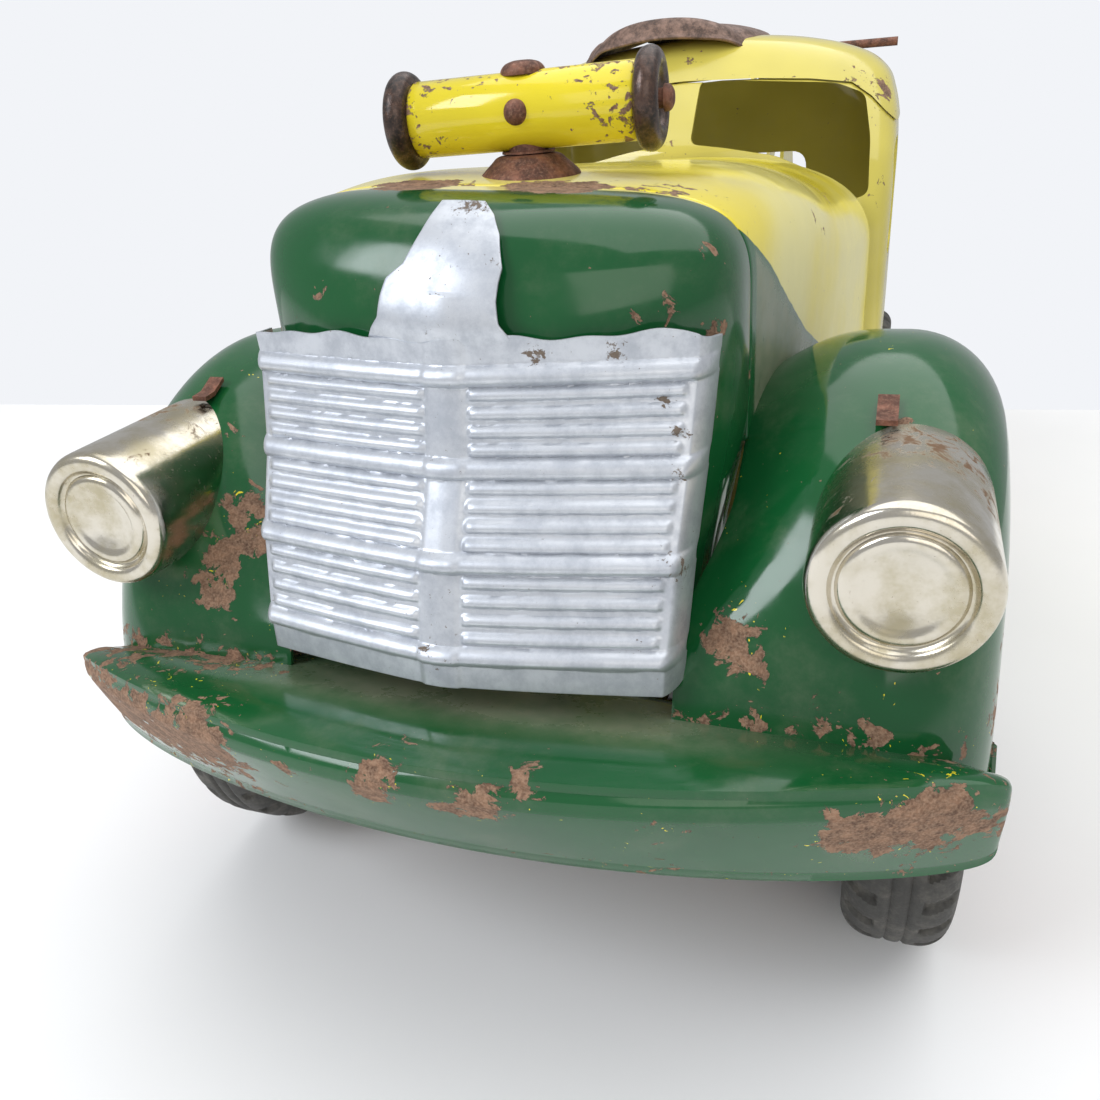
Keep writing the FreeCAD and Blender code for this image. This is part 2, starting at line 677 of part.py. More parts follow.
def make_bed():
    """Running boards, deck, sides, tail panel and rear bumper."""
    sills, outriggers = [], []
    for name, side in SIDES:
        plate("running_board_" + name, ("0", "0", "board_low+2"), "XY_Plane", [
            ("%d*56" % side, "-74"), ("%d*108" % side, "-74"), ("%d*108" % side, "58"), ("%d*96" % side, "78"),
            ("%d*56" % side, "78")], "4")
        plate("bed_side_" + name, ("%d*(deck_half+gauge/2)" % side, "0", "deck_low"), "YZ_Plane", [
            ("deck_front", "0"), ("tail-6", "0"), ("tail-6", "side_high-8"), ("deck_front+12", "side_high"),
            ("deck_front", "side_high")], "gauge")
        sills.append(block("bed_sill_" + name, ("%d*30-4" % side, "deck_front+4", "frame_low+frame_deep"), "8",
                           "tail-deck_front-12", "deck_low-frame_low-frame_deep"))
        outriggers.append(block("cab_outrigger_" + name, ("%d*60-22" % side, "10", "frame_low+2"), "44", "16", "4"))
    grouped("bed_sills", sills)
    grouped("cab_outriggers", outriggers)
    plate("bed_deck", ("0", "0", "deck_low+gauge"), "XY_Plane", [
        ("-deck_half", "deck_front"), ("deck_half", "deck_front"), ("deck_half", "tail-6"),
        ("-deck_half", "tail-6")], "2*gauge")
    block("tail_panel", ("-deck_half-gauge", "tail-6", "deck_low-16"), "2*(deck_half+gauge)", "gauge", "side_high+8")
    block("rear_bumper", ("-70", "tail-4.8", "deck_low-14"), "140", "4.8", "9")


def make_crane():
    """Side plates, pins and straps that hold the boom over the tail."""
    for name, side in SIDES:
        plate("crane_side_" + name, ("%d*crane_half" % side, "0", "0"), "YZ_Plane", [
            ("126", "deck_low+2*gauge"), ("232", "deck_low+2*gauge"), ("winch_along+12", "winch_height+8"),
            ("winch_along-10", "winch_height+8")], "2", [
            ("winch_along", "winch_height", "wire_radius+fit"), ("150", "128", "2.52"), ("186", "196", "2.52")])
        plate("boom_strap_" + name, ("%d*boom_half" % side, "0", "0"), "YZ_Plane", [
            ("143", "123"), ("152", "120"), ("boom_tip_along+6", "boom_tip_height-7"),
            ("boom_tip_along+6", "boom_tip_height+6"), ("boom_tip_along-5", "boom_tip_height+7"),
            ("143", "133")], "2", [
            ("150", "128", "2.52"), ("boom_tip_along", "boom_tip_height", "2.02"), ("250", "204.5", "2.02")])
    grouped("crane_pins", [
        rod("boom_foot_pin", ("-crane_half-3", "150", "128"), "x", "2.5", "2*crane_half+6"),
        rod("crane_top_pin", ("-crane_half-3", "186", "196"), "x", "2.5", "2*crane_half+6"),
        rod("boom_tie_pin", ("-15.5", "250", "204.5"), "x", "2", "31"),
        rod("pulley_pin", ("-boom_half-2.5", "boom_tip_along", "boom_tip_height"), "x", "2", "2*boom_half+5")])
    turned("boom_pulley", ("0", "boom_tip_along", "boom_tip_height"), "x", [
        ("2+fit", "-5"), ("11", "-5"), ("11", "-3.6"), ("7", "-1.6"), ("7", "1.6"), ("11", "3.6"),
        ("11", "5"), ("2+fit", "5")])
    turned("winch_drum", ("0", "winch_along", "winch_height"), "x", [
        ("wire_radius+fit/3", "-19"), ("14", "-19"), ("14", "-17.4"), ("7", "-17.4"), ("7", "17.4"), ("14", "17.4"),
        ("14", "19"), ("wire_radius+fit/3", "19")])
    grouped("boom_stays", [make_stay(name, side) for name, side in SIDES])


def make_stay(name, side):
    """Round stay from the crane's top pin to the boom's tie pin."""
    low = Vector(side * 13, 186, 196)
    high = Vector(side * 13, 250, 204.5)
    way = (high - low).normalize()
    stay = Part.makeCylinder(1.8, (high - low).Length, low, way)
    for spot, hole in ((low, 2.52), (high, 2.02)):
        stay = stay.fuse(Part.makeCylinder(5, 3.6, spot - Vector(1.8, 0, 0), Vector(1, 0, 0)))
        stay = stay.cut(Part.makeCylinder(hole, 6, spot - Vector(3, 0, 0), Vector(1, 0, 0)))
    return formed("boom_stay_" + name, stay)


def make_crank():
    """One bent wire: winch axle, throw and grip."""
    radius = size("wire_radius")
    start = -size("crane_half") - 5
    turn_out = size("crane_half") + 8
    bend = 5.0
    y, z, throw = size("winch_along"), size("winch_height"), size("crank_throw")
    c45 = bend * math.sin(math.radians(45))
    path = [
        Part.makeLine(Vector(start, y, z), Vector(turn_out - bend, y, z)),
        Part.Arc(Vector(turn_out - bend, y, z), Vector(turn_out - bend + c45, y, z + bend - c45),
                 Vector(turn_out, y, z + bend)).toShape(),
        Part.makeLine(Vector(turn_out, y, z + bend), Vector(turn_out, y, z + throw - bend)),
        Part.Arc(Vector(turn_out, y, z + throw - bend),
                 Vector(turn_out + bend - c45, y, z + throw - bend + c45),
                 Vector(turn_out + bend, y, z + throw)).toShape(),
        Part.makeLine(Vector(turn_out + bend, y, z + throw), Vector(size("crank_end"), y, z + throw)),
    ]
    section = Part.Wire(Part.makeCircle(radius, Vector(start, y, z), Vector(1, 0, 0)))
    return Part.Wire(path).makePipeShell([section], True, True)


# ---- Seat and rivets ------------------------------------------------------------


def make_seat():
    """Saddle pan crowned across the roof, a little higher at its back."""
    wires = []
    for along, share, lift in ((8, 0.72, -1.0), (22, 0.98, 0), (52, 1.0, 0), (78, 0.9, 1.0), (92, 0.62, 1.6)):
        half = size("seat_half") * share
        line = []
        for i in range(-5, 6):
            across = half * i / 5.0
            line.append((across + size("seat_shift"), size("seat_top") + lift - 0.0042 * across ** 2))
        wires.append(band_wire(line, size("gauge"), lambda a, b, y=along: Vector(a, y, b)))
    return Part.makeLoft(wires, True, False)


def make_rivets():
    """Domed rivets along the running boards and the bed, as one group of solids."""
    heads = []
    for side in (-1, 1):
        for along in (-64, -24, 16, 56):
            heads.append(Part.makeSphere(2.2, Vector(side * 97, along, 66), Vector(0, 0, 1), 0, 90))
        for along in (120, 170, 220, 270):
            heads.append(Part.makeSphere(2.2, Vector(side * 70, along, 114.4), Vector(0, 0, 1), 0, 90))
    return Part.makeCompound(heads)


def build():
    """Make every piece, in the order it would be assembled."""
    make_running_gear()
    for name, across, along in (("front_left", 1, "front_axle"), ("front_right", -1, "front_axle"),
                                ("rear_left", 1, "rear_axle"), ("rear_right", -1, "rear_axle")):
        make_wheel(name, across, along)
    formed("hood", make_hood())
    formed("nose_shell", make_nose())
    formed("grille", make_grille())
    formed("front_bumper", make_bumper())
    for name, side in SIDES:
        formed("front_fender_" + name, make_fender(side))
    make_lamps()
    body, roof, back = make_cab()
    formed("cab_body", body)
    formed("cab_roof", roof)
    formed("cab_back", back)
    make_handle()
    make_bed()
    make_crane()
    formed("crank_handle", make_crank())
    formed("saddle_seat", make_seat())
    block("seat_bracket", ("seat_shift-12", "30", "roof_top+0.05"), "24", "30", "seat_top-roof_top-2.6")
    formed("body_rivets", make_rivets())
    doc.recompute()


def check_and_write():
    """Stop on any failed object or bad shape, then write one STEP file per piece."""
    for obj in doc.Objects:
        if "Invalid" in obj.State or "Error" in obj.State:
            raise RuntimeError("%s failed: %s" % (obj.Label, obj.State))
    os.makedirs("parts", exist_ok=True)
    for old in os.listdir("parts"):
        os.remove(os.path.join("parts", old))
    for piece in pieces:
        shape = piece.Shape
        if shape.isNull() or not shape.isValid() or shape.Volume <= 0:
            raise RuntimeError("bad shape: " + piece.Label)
        shape.exportStep(os.path.join("parts", piece.Label + ".step"))
    whole = Part.makeCompound([piece.Shape for piece in pieces]).BoundBox
    print(len(pieces), "pieces, box", whole)


build()
check_and_write()
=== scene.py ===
import math

import bmesh
import bpy
import numpy as np
from bpy.props import FloatProperty, FloatVectorProperty, PointerProperty
from mathutils import Matrix, Vector


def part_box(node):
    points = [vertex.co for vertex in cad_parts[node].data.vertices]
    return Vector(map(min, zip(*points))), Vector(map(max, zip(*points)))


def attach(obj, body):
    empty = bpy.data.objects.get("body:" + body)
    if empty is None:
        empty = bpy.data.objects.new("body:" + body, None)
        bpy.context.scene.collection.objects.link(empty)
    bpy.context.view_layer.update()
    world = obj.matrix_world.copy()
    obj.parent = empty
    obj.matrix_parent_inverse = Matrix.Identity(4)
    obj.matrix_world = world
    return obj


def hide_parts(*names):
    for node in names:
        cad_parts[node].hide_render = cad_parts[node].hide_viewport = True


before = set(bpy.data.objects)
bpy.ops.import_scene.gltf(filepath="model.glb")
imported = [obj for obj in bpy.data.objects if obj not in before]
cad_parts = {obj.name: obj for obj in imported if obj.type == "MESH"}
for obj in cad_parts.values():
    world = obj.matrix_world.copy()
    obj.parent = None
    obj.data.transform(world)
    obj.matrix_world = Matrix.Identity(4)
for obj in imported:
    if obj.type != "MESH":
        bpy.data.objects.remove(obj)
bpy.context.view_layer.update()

bl_info = {
    "name": "Ride-On Tow Truck",
    "version": (1, 0, 0),
    "blender": (4, 5, 0),
    "location": "View3D > Sidebar > Tow Truck",
    "description": "Builds the sheet, plate, rubber and worn finishes of a pressed-steel ride-on tow truck",
    "category": "Object",
}

MM = 0.001


def mm_box(node):
    """Low and high corner of a CAD node, in millimetres."""
    return np.array(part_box(node)) / MM


def linear(hex_colour):
    """Linear RGB from an sRGB hex colour."""
    shares = [int(hex_colour[i:i + 2], 16) / 255 for i in (1, 3, 5)]
    return [s / 12.92 if s <= 0.04045 else ((s + 0.055) / 1.055) ** 2.4 for s in shares]


HOOD = mm_box("hood")
NOSE = mm_box("nose_shell")
BUMPER = mm_box("front_bumper")
LAMP = mm_box("headlamp_left")
TUBE = mm_box("handle_tube")
TYRE = mm_box("tyre_front_left")
REAR_TYRE = mm_box("tyre_rear_left")
SEAT = mm_box("saddle_seat")


# ---- Sizes and colours a user would change ---------------------------------


def length(label, words, default):
    """A length property, with its default given in millimetres."""
    return FloatProperty(name=label, description=words, default=float(default) * MM, unit="LENGTH",
                         precision=4)


def colour(label, words, default):
    """A colour property, with its default given as sRGB hex."""
    return FloatVectorProperty(name=label, description=words, default=linear(default), subtype="COLOR",
                               size=3, min=0, max=1)


class TruckSizes(bpy.types.PropertyGroup):
    """Sizes of the drawn sheet and of the fittings."""

    gauge: length("Gauge", "Thickness of the body sheet", 1.2)
    twist: length("Nose twist", "How much higher the right of the nose stands than the left", 6)
    rib: length("Rib", "Height of the thin grille ribs", 1.15)
    bead: length("Bead", "Height of the full-width grille beads", 1.9)
    tongue_gap: length("Tongue gap", "Gap between the grille tongue and the nose", 0.7)
    roof_lip: length("Roof lip", "How far the roof stands over the cab", 0.7)
    tread: length("Tread", "Depth of the tyre notches", 1.6)
    skew: FloatProperty(name="Skew", description="Degrees that the sheet's far edge is off square", default=16)
    rear_floor: length("Floor", "How far the white sheet reaches from the camera", 745)


class TruckColours(bpy.types.PropertyGroup):
    """Colours of the finishes."""

    green: colour("Green", "Green enamel", "#13552b")
    yellow: colour("Yellow", "Yellow enamel", "#e6d32c")
    # Pale cream: the yellow enamel lightened, a painted glare for the lit hood top and nose.
    glare_cream: colour("Glare-lit yellow", "Yellow enamel lightened as painted glare", "#eadf86")
    silver: colour("Silver", "Aluminium paint", "#c9cdd3")
    nickel: colour("Nickel", "Aged nickel plate", "#d3cdc0")
    rust: colour("Rust", "Dry brown rust", "#8c6a52")
    rust_dark: colour("Dark rust", "Old dark rust", "#4f3626")
    rubber: colour("Rubber", "Dusty tyre rubber", "#3a3936")
    paper: colour("Sheet", "White floor sheet", "#f4f4f3")
    backdrop: colour("Backdrop", "Pale wall beyond the sheet", "#f2f4f8")


def sizes():
    """The size settings of the scene."""
    return bpy.context.scene.truck_sizes


def colours():
    """The colour settings of the scene."""
    return bpy.context.scene.truck_colours


# ---- Numpy surface helpers --------------------------------------------------


def spline(points, count):
    """Smooth line through points: cubic Hermite pieces with central slopes, even steps of chord length."""
    points = np.asarray(points, float)
    chord = np.concatenate([[0], np.cumsum(np.linalg.norm(np.diff(points, axis=0), axis=1))])
    place = np.linspace(0, chord[-1], count)
    k = np.clip(np.searchsorted(chord, place, side="right") - 1, 0, len(points) - 2)
    span = (chord[k + 1] - chord[k])[:, None]
    u = (place - chord[k])[:, None] / span
    slope = np.gradient(points, chord, axis=0)
    return ((2 * u ** 3 - 3 * u ** 2 + 1) * points[k] + (u ** 3 - 2 * u ** 2 + u) * span * slope[k]
            + (3 * u ** 2 - 2 * u ** 3) * points[k + 1] + (u ** 3 - u ** 2) * span * slope[k + 1])


def soften(points, radius=5.0, steps=7):
    """Closed outline with each corner P rounded by the curve (1-t)^2 A + 2t(1-t) P + t^2 B, where A and B lie
    one radius away from P along its two sides, or under half a side."""
    points = np.asarray(points, float)
    ways = [np.roll(points, shift, axis=0) - points for shift in (1, -1)]
    lengths = [np.linalg.norm(way, axis=1, keepdims=True) for way in ways]
    start, end = (points + way / size * np.minimum(radius, 0.49 * size) for way, size in zip(ways, lengths))
    t = np.linspace(0, 1, steps)[None, :, None]
    curve = (1 - t) ** 2 * start[:, None] + 2 * t * (1 - t) * points[:, None] + t ** 2 * end[:, None]
    return curve.reshape(-1, 2)


def smooth_step(value, low, high):
    """0 below low, 1 above high, and 3t^2 - 2t^3 between."""
    t = np.clip((value - low) / (high - low), 0, 1)
    return t * t * (3 - 2 * t)


def stack(*parts):
    """Arrays of x, y and z broadcast together into points."""
    return np.stack(np.broadcast_arrays(*parts), axis=-1)


def surface(name, grid, ring=False, flip=False, tips=(None, None), solid=False):
    """Mesh from a grid of points in millimetres. ring joins the last column to the first; tips are single
    points that close the first and last row; solid has its outward side worked out again."""
    rows, cols = grid.shape[:2]
    index = np.arange(rows * cols).reshape(rows, cols)
    left = index if ring else index[:, :-1]
    right = np.roll(index, -1, axis=1) if ring else index[:, 1:]
    quads = np.stack([left[:-1], right[:-1], right[1:], left[1:]], axis=-1).reshape(-1, 4)
    points = grid.reshape(-1, 3)
    faces = quads.tolist()
    for row, tip in zip((0, rows - 1), tips):
        if tip is not None:
            fan = np.stack([left[row], right[row], np.full_like(left[row], len(points))], axis=-1)
            points = np.vstack([points, tip])
            faces += (fan[:, ::-1] if row == 0 else fan).tolist()
    if flip:
        faces = [face[::-1] for face in faces]
    mesh = bpy.data.meshes.new(name)
    mesh.from_pydata((points * MM).tolist(), [], faces)
    work = bmesh.new()
    work.from_mesh(mesh)
    bmesh.ops.remove_doubles(work, verts=work.verts, dist=1e-6)
    if solid:
        bmesh.ops.recalc_face_normals(work, faces=work.faces)
    work.to_mesh(mesh)
    work.free()
    return piece(name, mesh)


def piece(name, mesh, sharp=40):
    """Object for a mesh, smooth except where faces meet at more than an angle."""
    mesh.polygons.foreach_set("use_smooth", np.ones(len(mesh.polygons), bool))
    mesh.set_sharp_from_angle(angle=math.radians(sharp))
    thing = bpy.data.objects.new(name, mesh)
    bpy.context.scene.collection.objects.link(thing)
    return thing


def gauge_up(thing, thick, edge=0.35, inner=False):
    """Give an open surface the thickness of its sheet, inwards, and round its edges."""
    shell = thing.modifiers.new("Gauge", "SOLIDIFY")
    shell.thickness = thick * MM
    shell.offset = -1
    shell.use_even_offset = False
    shell.material_offset = 1 if inner else 0
    if edge:
        soft = thing.modifiers.new("Edge", "BEVEL")
        soft.width = edge * MM
        soft.segments = 2
        soft.limit_method = "ANGLE"
        soft.angle_limit = math.radians(50)
        soft.harden_normals = False
    return thing


def settle(thing):
    """Apply the modifiers of a piece into its mesh."""
    graph = bpy.context.evaluated_depsgraph_get()
    mesh = bpy.data.meshes.new_from_object(thing.evaluated_get(graph))
    thing.modifiers.clear()
    thing.data = mesh
    return thing


def carve(thing, tools, keep="DIFFERENCE"):
    """Cut a piece with closed tools, which are then removed, and shade it again."""
    for tool in tools:
        cut = thing.modifiers.new("Cut", "BOOLEAN")
        cut.operation = keep
        cut.solver = "EXACT"
        cut.object = tool
    settle(thing)
    for tool in tools:
        bpy.data.objects.remove(tool)
    thing.data.polygons.foreach_set("use_smooth", np.ones(len(thing.data.polygons), bool))
    thing.data.set_sharp_from_angle(angle=math.radians(40))
    return thing


def prism(name, outline, axis, start, end):
    """Closed prism: a flat outline carried along X, Y or Z from start to end."""
    outline = np.asarray(outline, float)
    ends = []
    for place in (start, end):
        flat = np.full(len(outline), float(place))
        a, b = outline[:, 0], outline[:, 1]
        ends.append(stack(*{"x": (flat, a, b), "y": (a, flat, b), "z": (a, b, flat)}[axis]))
    grid = np.stack(ends)
    return surface(name, grid, ring=True, tips=(ends[0].mean(0), ends[1].mean(0)), solid=True)


def turned(name, centre, axis, profile, steps=96, closed=True):
    """Turned piece: each (radius, along) of the profile becomes a circle about an axis through a centre."""
    profile = np.asarray(profile, float)
    if closed:
        profile = np.vstack([profile, profile[:1]])
    angle = np.linspace(0, 2 * math.pi, steps, endpoint=False)
    around_a = profile[:, :1] * np.cos(angle)
    around_b = profile[:, :1] * np.sin(angle)
    along = np.broadcast_to(profile[:, 1:], around_a.shape)
    order = {"x": (along, around_a, around_b), "y": (around_a, along, around_b),
             "z": (around_a, around_b, along)}
    return surface(name, stack(*order[axis]) + np.asarray(centre, float), ring=True, solid=True)


def mark(thing, label, rule):
    """Per-point attribute: a rule gives its value from the points, in millimetres."""
    mesh = thing.data
    spots = np.empty(len(mesh.vertices) * 3)
    mesh.vertices.foreach_get("co", spots)
    values = np.broadcast_to(rule(spots.reshape(-1, 3) / MM), (len(mesh.vertices),))
    if label in mesh.attributes:
        mesh.attributes.remove(mesh.attributes[label])
    made = mesh.attributes.new(label, "FLOAT", "POINT")
    made.data.foreach_set("value", np.ascontiguousarray(values, float))
    return thing


def blots(points, spots):
    """Sum of round soft spots: each (x, y, z, reach, strength) adds strength * exp(-(distance/reach)^2)."""
    total = np.zeros(len(points))
    for x, y, z, reach, strength in spots:
        total += strength * np.exp(-np.sum((points - (x, y, z)) ** 2, axis=1) / reach ** 2)
    return total


# ---- Material helpers -------------------------------------------------------


def add(tree, kind, sockets=None, **settings):
    """Add one shader node, set its properties, and set or link its inputs."""
    new = tree.nodes.new("ShaderNode" + kind)
    for key, value in settings.items():
        setattr(new, key, value)
    for key, value in (sockets or {}).items():
        if isinstance(value, bpy.types.NodeSocket):
            tree.links.new(value, new.inputs[key])
        else:
            new.inputs[key].default_value = value
    return new


def start_material(name):
    """Empty node material with an output, and its Object coordinates."""
    material = bpy.data.materials.new(name)
    material.use_nodes = True
    tree = material.node_tree
    tree.nodes.clear()
    place = add(tree, "TexCoord").outputs["Object"]
    return material, tree, place


def finish_material(material, tree, **sockets):
    """Principled shader into the output. Underscores in names stand for spaces."""
    inputs = {key.replace("_", " "): value for key, value in sockets.items()}
    shader = add(tree, "BsdfPrincipled", inputs)
    add(tree, "OutputMaterial", {"Surface": shader.outputs["BSDF"]})
    return material


def cloud(tree, place, grain, detail=4.0, rough=0.6, warp=0.0):
    """Noise whose lumps are about one grain across, in millimetres."""
    return add(tree, "TexNoise", {"Vector": place, "Scale": 1.0 / (grain * MM), "Detail": detail,
                                  "Roughness": rough, "Distortion": warp}).outputs["Fac"]


def ramp(tree, value, low, high, to_low=0.0, to_high=1.0):
    """Clamped straight map of a value, smooth at both ends."""
    return add(tree, "MapRange", {"Value": value, "From Min": low, "From Max": high, "To Min": to_low,
                                  "To Max": to_high}, interpolation_type="SMOOTHSTEP").outputs["Result"]


def blend(tree, share, below, above):
    """Mix two colours by a share."""
    mix = add(tree, "Mix", data_type="RGBA")
    for key, value in ((0, share), (6, below), (7, above)):
        if isinstance(value, bpy.types.NodeSocket):
            tree.links.new(value, mix.inputs[key])
        else:
            mix.inputs[key].default_value = value if key == 0 else (*value, 1)
    return mix.outputs[2]


def reckon(tree, operation, first, second=0.0, third=0.0):
    """One arithmetic step on values."""
    step = add(tree, "Math", operation=operation)
    for slot, value in enumerate((first, second, third)):
        if isinstance(value, bpy.types.NodeSocket):
            tree.links.new(value, step.inputs[slot])
        else:
            step.inputs[slot].default_value = value
    return step.outputs[0]


def attribute(tree, label):
    """Value of a per-point attribute."""
    return add(tree, "Attribute", attribute_name=label).outputs["Fac"]


def rust_colour(tree, place):
    """Brown rust in two depths, lumps about 3 mm and grains about 0.6 mm."""
    lumps = ramp(tree, cloud(tree, place, 3.0, 5, 0.7), 0.35, 0.68)
    grains = ramp(tree, cloud(tree, place, 0.6, 2, 0.6), 0.3, 0.75)
    deep = blend(tree, lumps, colours().rust_dark, colours().rust)
    return blend(tree, reckon(tree, "MULTIPLY", grains, 0.5), deep, linear("#b0937a"))


def enamel(name, base, second=None, chips=0.70, chip_size=7.0, dust=0.25, dim=None, under=None):
    """Stoved enamel on pressed steel: glossy and slightly wavy. Chips show rust with a dark rim, and the wear
    attribute brings more of them. Trim above zero is painted in the second colour, scratches show the colour
    under it, and the dust attribute adds a grey film: settled dust, and on the bumper's top shelf partly a
    painted reflection of the overhead light."""
    material, tree, place = start_material(name)
    dim = dim or [c * 0.82 for c in base]
    paint = blend(tree, ramp(tree, cloud(tree, place, 60, 3, 0.5), 0.35, 0.7), base, dim)
    if second is not None:
        wander = reckon(tree, "MULTIPLY_ADD", cloud(tree, place, 9, 2), 0.8, attribute(tree, "trim"))
        paint = blend(tree, ramp(tree, wander, 0.2, 0.6), paint, second)
    wear = attribute(tree, "wear")
    spots = reckon(tree, "MULTIPLY_ADD", wear, 0.42, cloud(tree, place, chip_size, 7, 0.62, 0.5))
    chipped = ramp(tree, spots, chips, chips + 0.012)
    rim = ramp(tree, spots, chips - 0.018, chips - 0.004)
    specks = reckon(tree, "MULTIPLY_ADD", wear, 0.12, cloud(tree, place, 1.6, 3, 0.6))
    specks = ramp(tree, specks, 0.735, 0.75)
    bare = reckon(tree, "MAXIMUM", chipped, specks)
    film = ramp(tree, cloud(tree, place, 24, 6, 0.7), 0.45, 0.85, 0.0, dust)
    # Dust attribute: settled dust, and on the bumper's top shelf partly a painted reflection.
    dust_and_sheen = reckon(tree, "MULTIPLY", attribute(tree, "dust"), cloud(tree, place, 9, 6, 0.75))
    film = reckon(tree, "MAXIMUM", film, dust_and_sheen)
    if under is not None:
        lines = reckon(tree, "MULTIPLY_ADD", wear, 0.16, cloud(tree, place, 3.2, 2, 0.5, 2.6))
        paint = blend(tree, ramp(tree, lines, 0.775, 0.79), paint, under)
    # Grey film colour: dust, and on the bumper's top shelf partly a painted reflection.
    filmed_paint = blend(tree, film, paint, linear("#a9a38f"))
    rimmed = blend(tree, reckon(tree, "MULTIPLY", rim, 0.55), filmed_paint, linear("#3c3a2c"))
    tone = blend(tree, bare, rimmed, rust_colour(tree, place))
    gloss = ramp(tree, cloud(tree, place, 14, 5, 0.6), 0.3, 0.8, 0.07, 0.22)
    gloss = reckon(tree, "MULTIPLY_ADD", film, 0.5, gloss)
    rough = reckon(tree, "MAXIMUM", gloss, reckon(tree, "MULTIPLY", bare, 0.82))
    scale = reckon(tree, "MULTIPLY", cloud(tree, place, 0.9, 3), bare)
    level = reckon(tree, "MULTIPLY_ADD", bare, -1.0, scale)
    waves = reckon(tree, "MULTIPLY_ADD", cloud(tree, place, 11, 2, 0.4), 0.35, level)
    relief = add(tree, "Bump", {"Height": waves, "Distance": 0.0002, "Strength": 0.55})
    return finish_material(material, tree, Base_Color=tone, Roughness=rough, IOR=1.5,
                           Normal=relief.outputs["Normal"], Coat_Weight=0.0)


def silver_paint(name):
    """Aluminium paint on thin pressed sheet: bright flake, satin, with dark scratches and rubbed edges."""
    material, tree, place = start_material(name)
    flake = cloud(tree, place, 0.5, 2, 0.7)
    mottled = cloud(tree, place, 7, 6, 0.72)
    paint = blend(tree, ramp(tree, mottled, 0.35, 0.7), colours().silver, linear("#aeb3bb"))
    wear = attribute(tree, "wear")
    spots = reckon(tree, "MULTIPLY_ADD", wear, 0.4, cloud(tree, place, 5, 7, 0.7, 0.6))
    chipped = ramp(tree, spots, 0.77, 0.785)
    speckle = reckon(tree, "MULTIPLY_ADD", wear, 0.22, cloud(tree, place, 1.2, 4, 0.7))
    speckle = ramp(tree, speckle, 0.70, 0.73)
    bare = reckon(tree, "MAXIMUM", chipped, reckon(tree, "MULTIPLY", speckle, 0.8))
    tone = blend(tree, bare, paint, blend(tree, flake, linear("#5c4a40"), linear("#7d7467")))
    rough = reckon(tree, "MULTIPLY_ADD", bare, 0.3, ramp(tree, mottled, 0.3, 0.7, 0.34, 0.48))
    metal = reckon(tree, "MULTIPLY_ADD", bare, -0.5, 0.62)
    height = reckon(tree, "MULTIPLY_ADD", flake, 0.25, reckon(tree, "MULTIPLY", bare, -1.0))
    relief = add(tree, "Bump", {"Height": height, "Distance": 0.00012, "Strength": 0.6})
    return finish_material(material, tree, Base_Color=tone, Roughness=rough, Metallic=metal,
                           Normal=relief.outputs["Normal"])


def nickel_plate(name):
    """Old nickel plate on drawn cups: warm, hazed and finely scratched, browned in patches."""
    material, tree, place = start_material(name)
    haze = cloud(tree, place, 12, 6, 0.65)
    stain = reckon(tree, "MULTIPLY_ADD", attribute(tree, "wear"), 0.3, cloud(tree, place, 5, 7, 0.7, 0.8))
    stain = ramp(tree, stain, 0.66, 0.80)
    pits = ramp(tree, cloud(tree, place, 0.8, 3, 0.6), 0.68, 0.74)
    plate = blend(tree, ramp(tree, haze, 0.35, 0.7), colours().nickel, linear("#b3aa8f"))
    dirt = reckon(tree, "MAXIMUM", stain, reckon(tree, "MULTIPLY", pits, 0.5))
    tone = blend(tree, dirt, plate, linear("#75593f"))
    rough = reckon(tree, "MULTIPLY_ADD", dirt, 0.4, ramp(tree, haze, 0.3, 0.75, 0.14, 0.34))
    metal = reckon(tree, "MULTIPLY_ADD", dirt, -0.7, 1.0)
    ripple = cloud(tree, place, 6, 5, 0.6)
    relief = add(tree, "Bump", {"Height": ripple, "Distance": 0.0002, "Strength": 0.35})
    return finish_material(material, tree, Base_Color=tone, Roughness=rough, Metallic=metal,
                           Normal=relief.outputs["Normal"])


def worn_steel(name, bare, deep, shine=0.45, metal=0.6, grit=0.6):
    """Handled steel whose paint has worn through: dark brown rust rubbed smooth on the high places."""
    material, tree, place = start_material(name)
    lumps = ramp(tree, cloud(tree, place, 4, 6, 0.7), 0.35, 0.7)
    grains = cloud(tree, place, 0.7, 4, 0.65)
    tone = blend(tree, lumps, linear(deep), linear(bare))
    tone = blend(tree, ramp(tree, grains, 0.45, 0.8, 0.0, grit), tone, linear("#a5806a"))
    rough = ramp(tree, lumps, 0, 1, shine + 0.2, shine)
    relief = add(tree, "Bump", {"Height": grains, "Distance": 0.00015, "Strength": 0.5})
    return finish_material(material, tree, Base_Color=tone, Roughness=rough, Metallic=metal * 0.6,
                           Normal=relief.outputs["Normal"])


def tyre_rubber(name):
    """Moulded black rubber, dull with dust in its pores and rubbed tread."""
    material, tree, place = start_material(name)
    dust = ramp(tree, cloud(tree, place, 6, 6, 0.7), 0.4, 0.8, 0.0, 0.55)
    tone = blend(tree, dust, colours().rubber, linear("#77736a"))
    fine = cloud(tree, place, 0.8, 4, 0.7)
    relief = add(tree, "Bump", {"Height": fine, "Distance": 0.0002, "Strength": 0.5})
    return finish_material(material, tree, Base_Color=tone, Roughness=ramp(tree, fine, 0.2, 0.8, 0.55, 0.8),
                           Normal=relief.outputs["Normal"])


def floor_paper(name, tint):
    """Matt coated card with the faintest mottling."""
    material, tree, place = start_material(name)
    tone = blend(tree, cloud(tree, place, 90, 5, 0.6), tint, [c * 0.965 for c in tint])
    return finish_material(material, tree, Base_Color=tone, Roughness=0.75)


FINISHES = {}


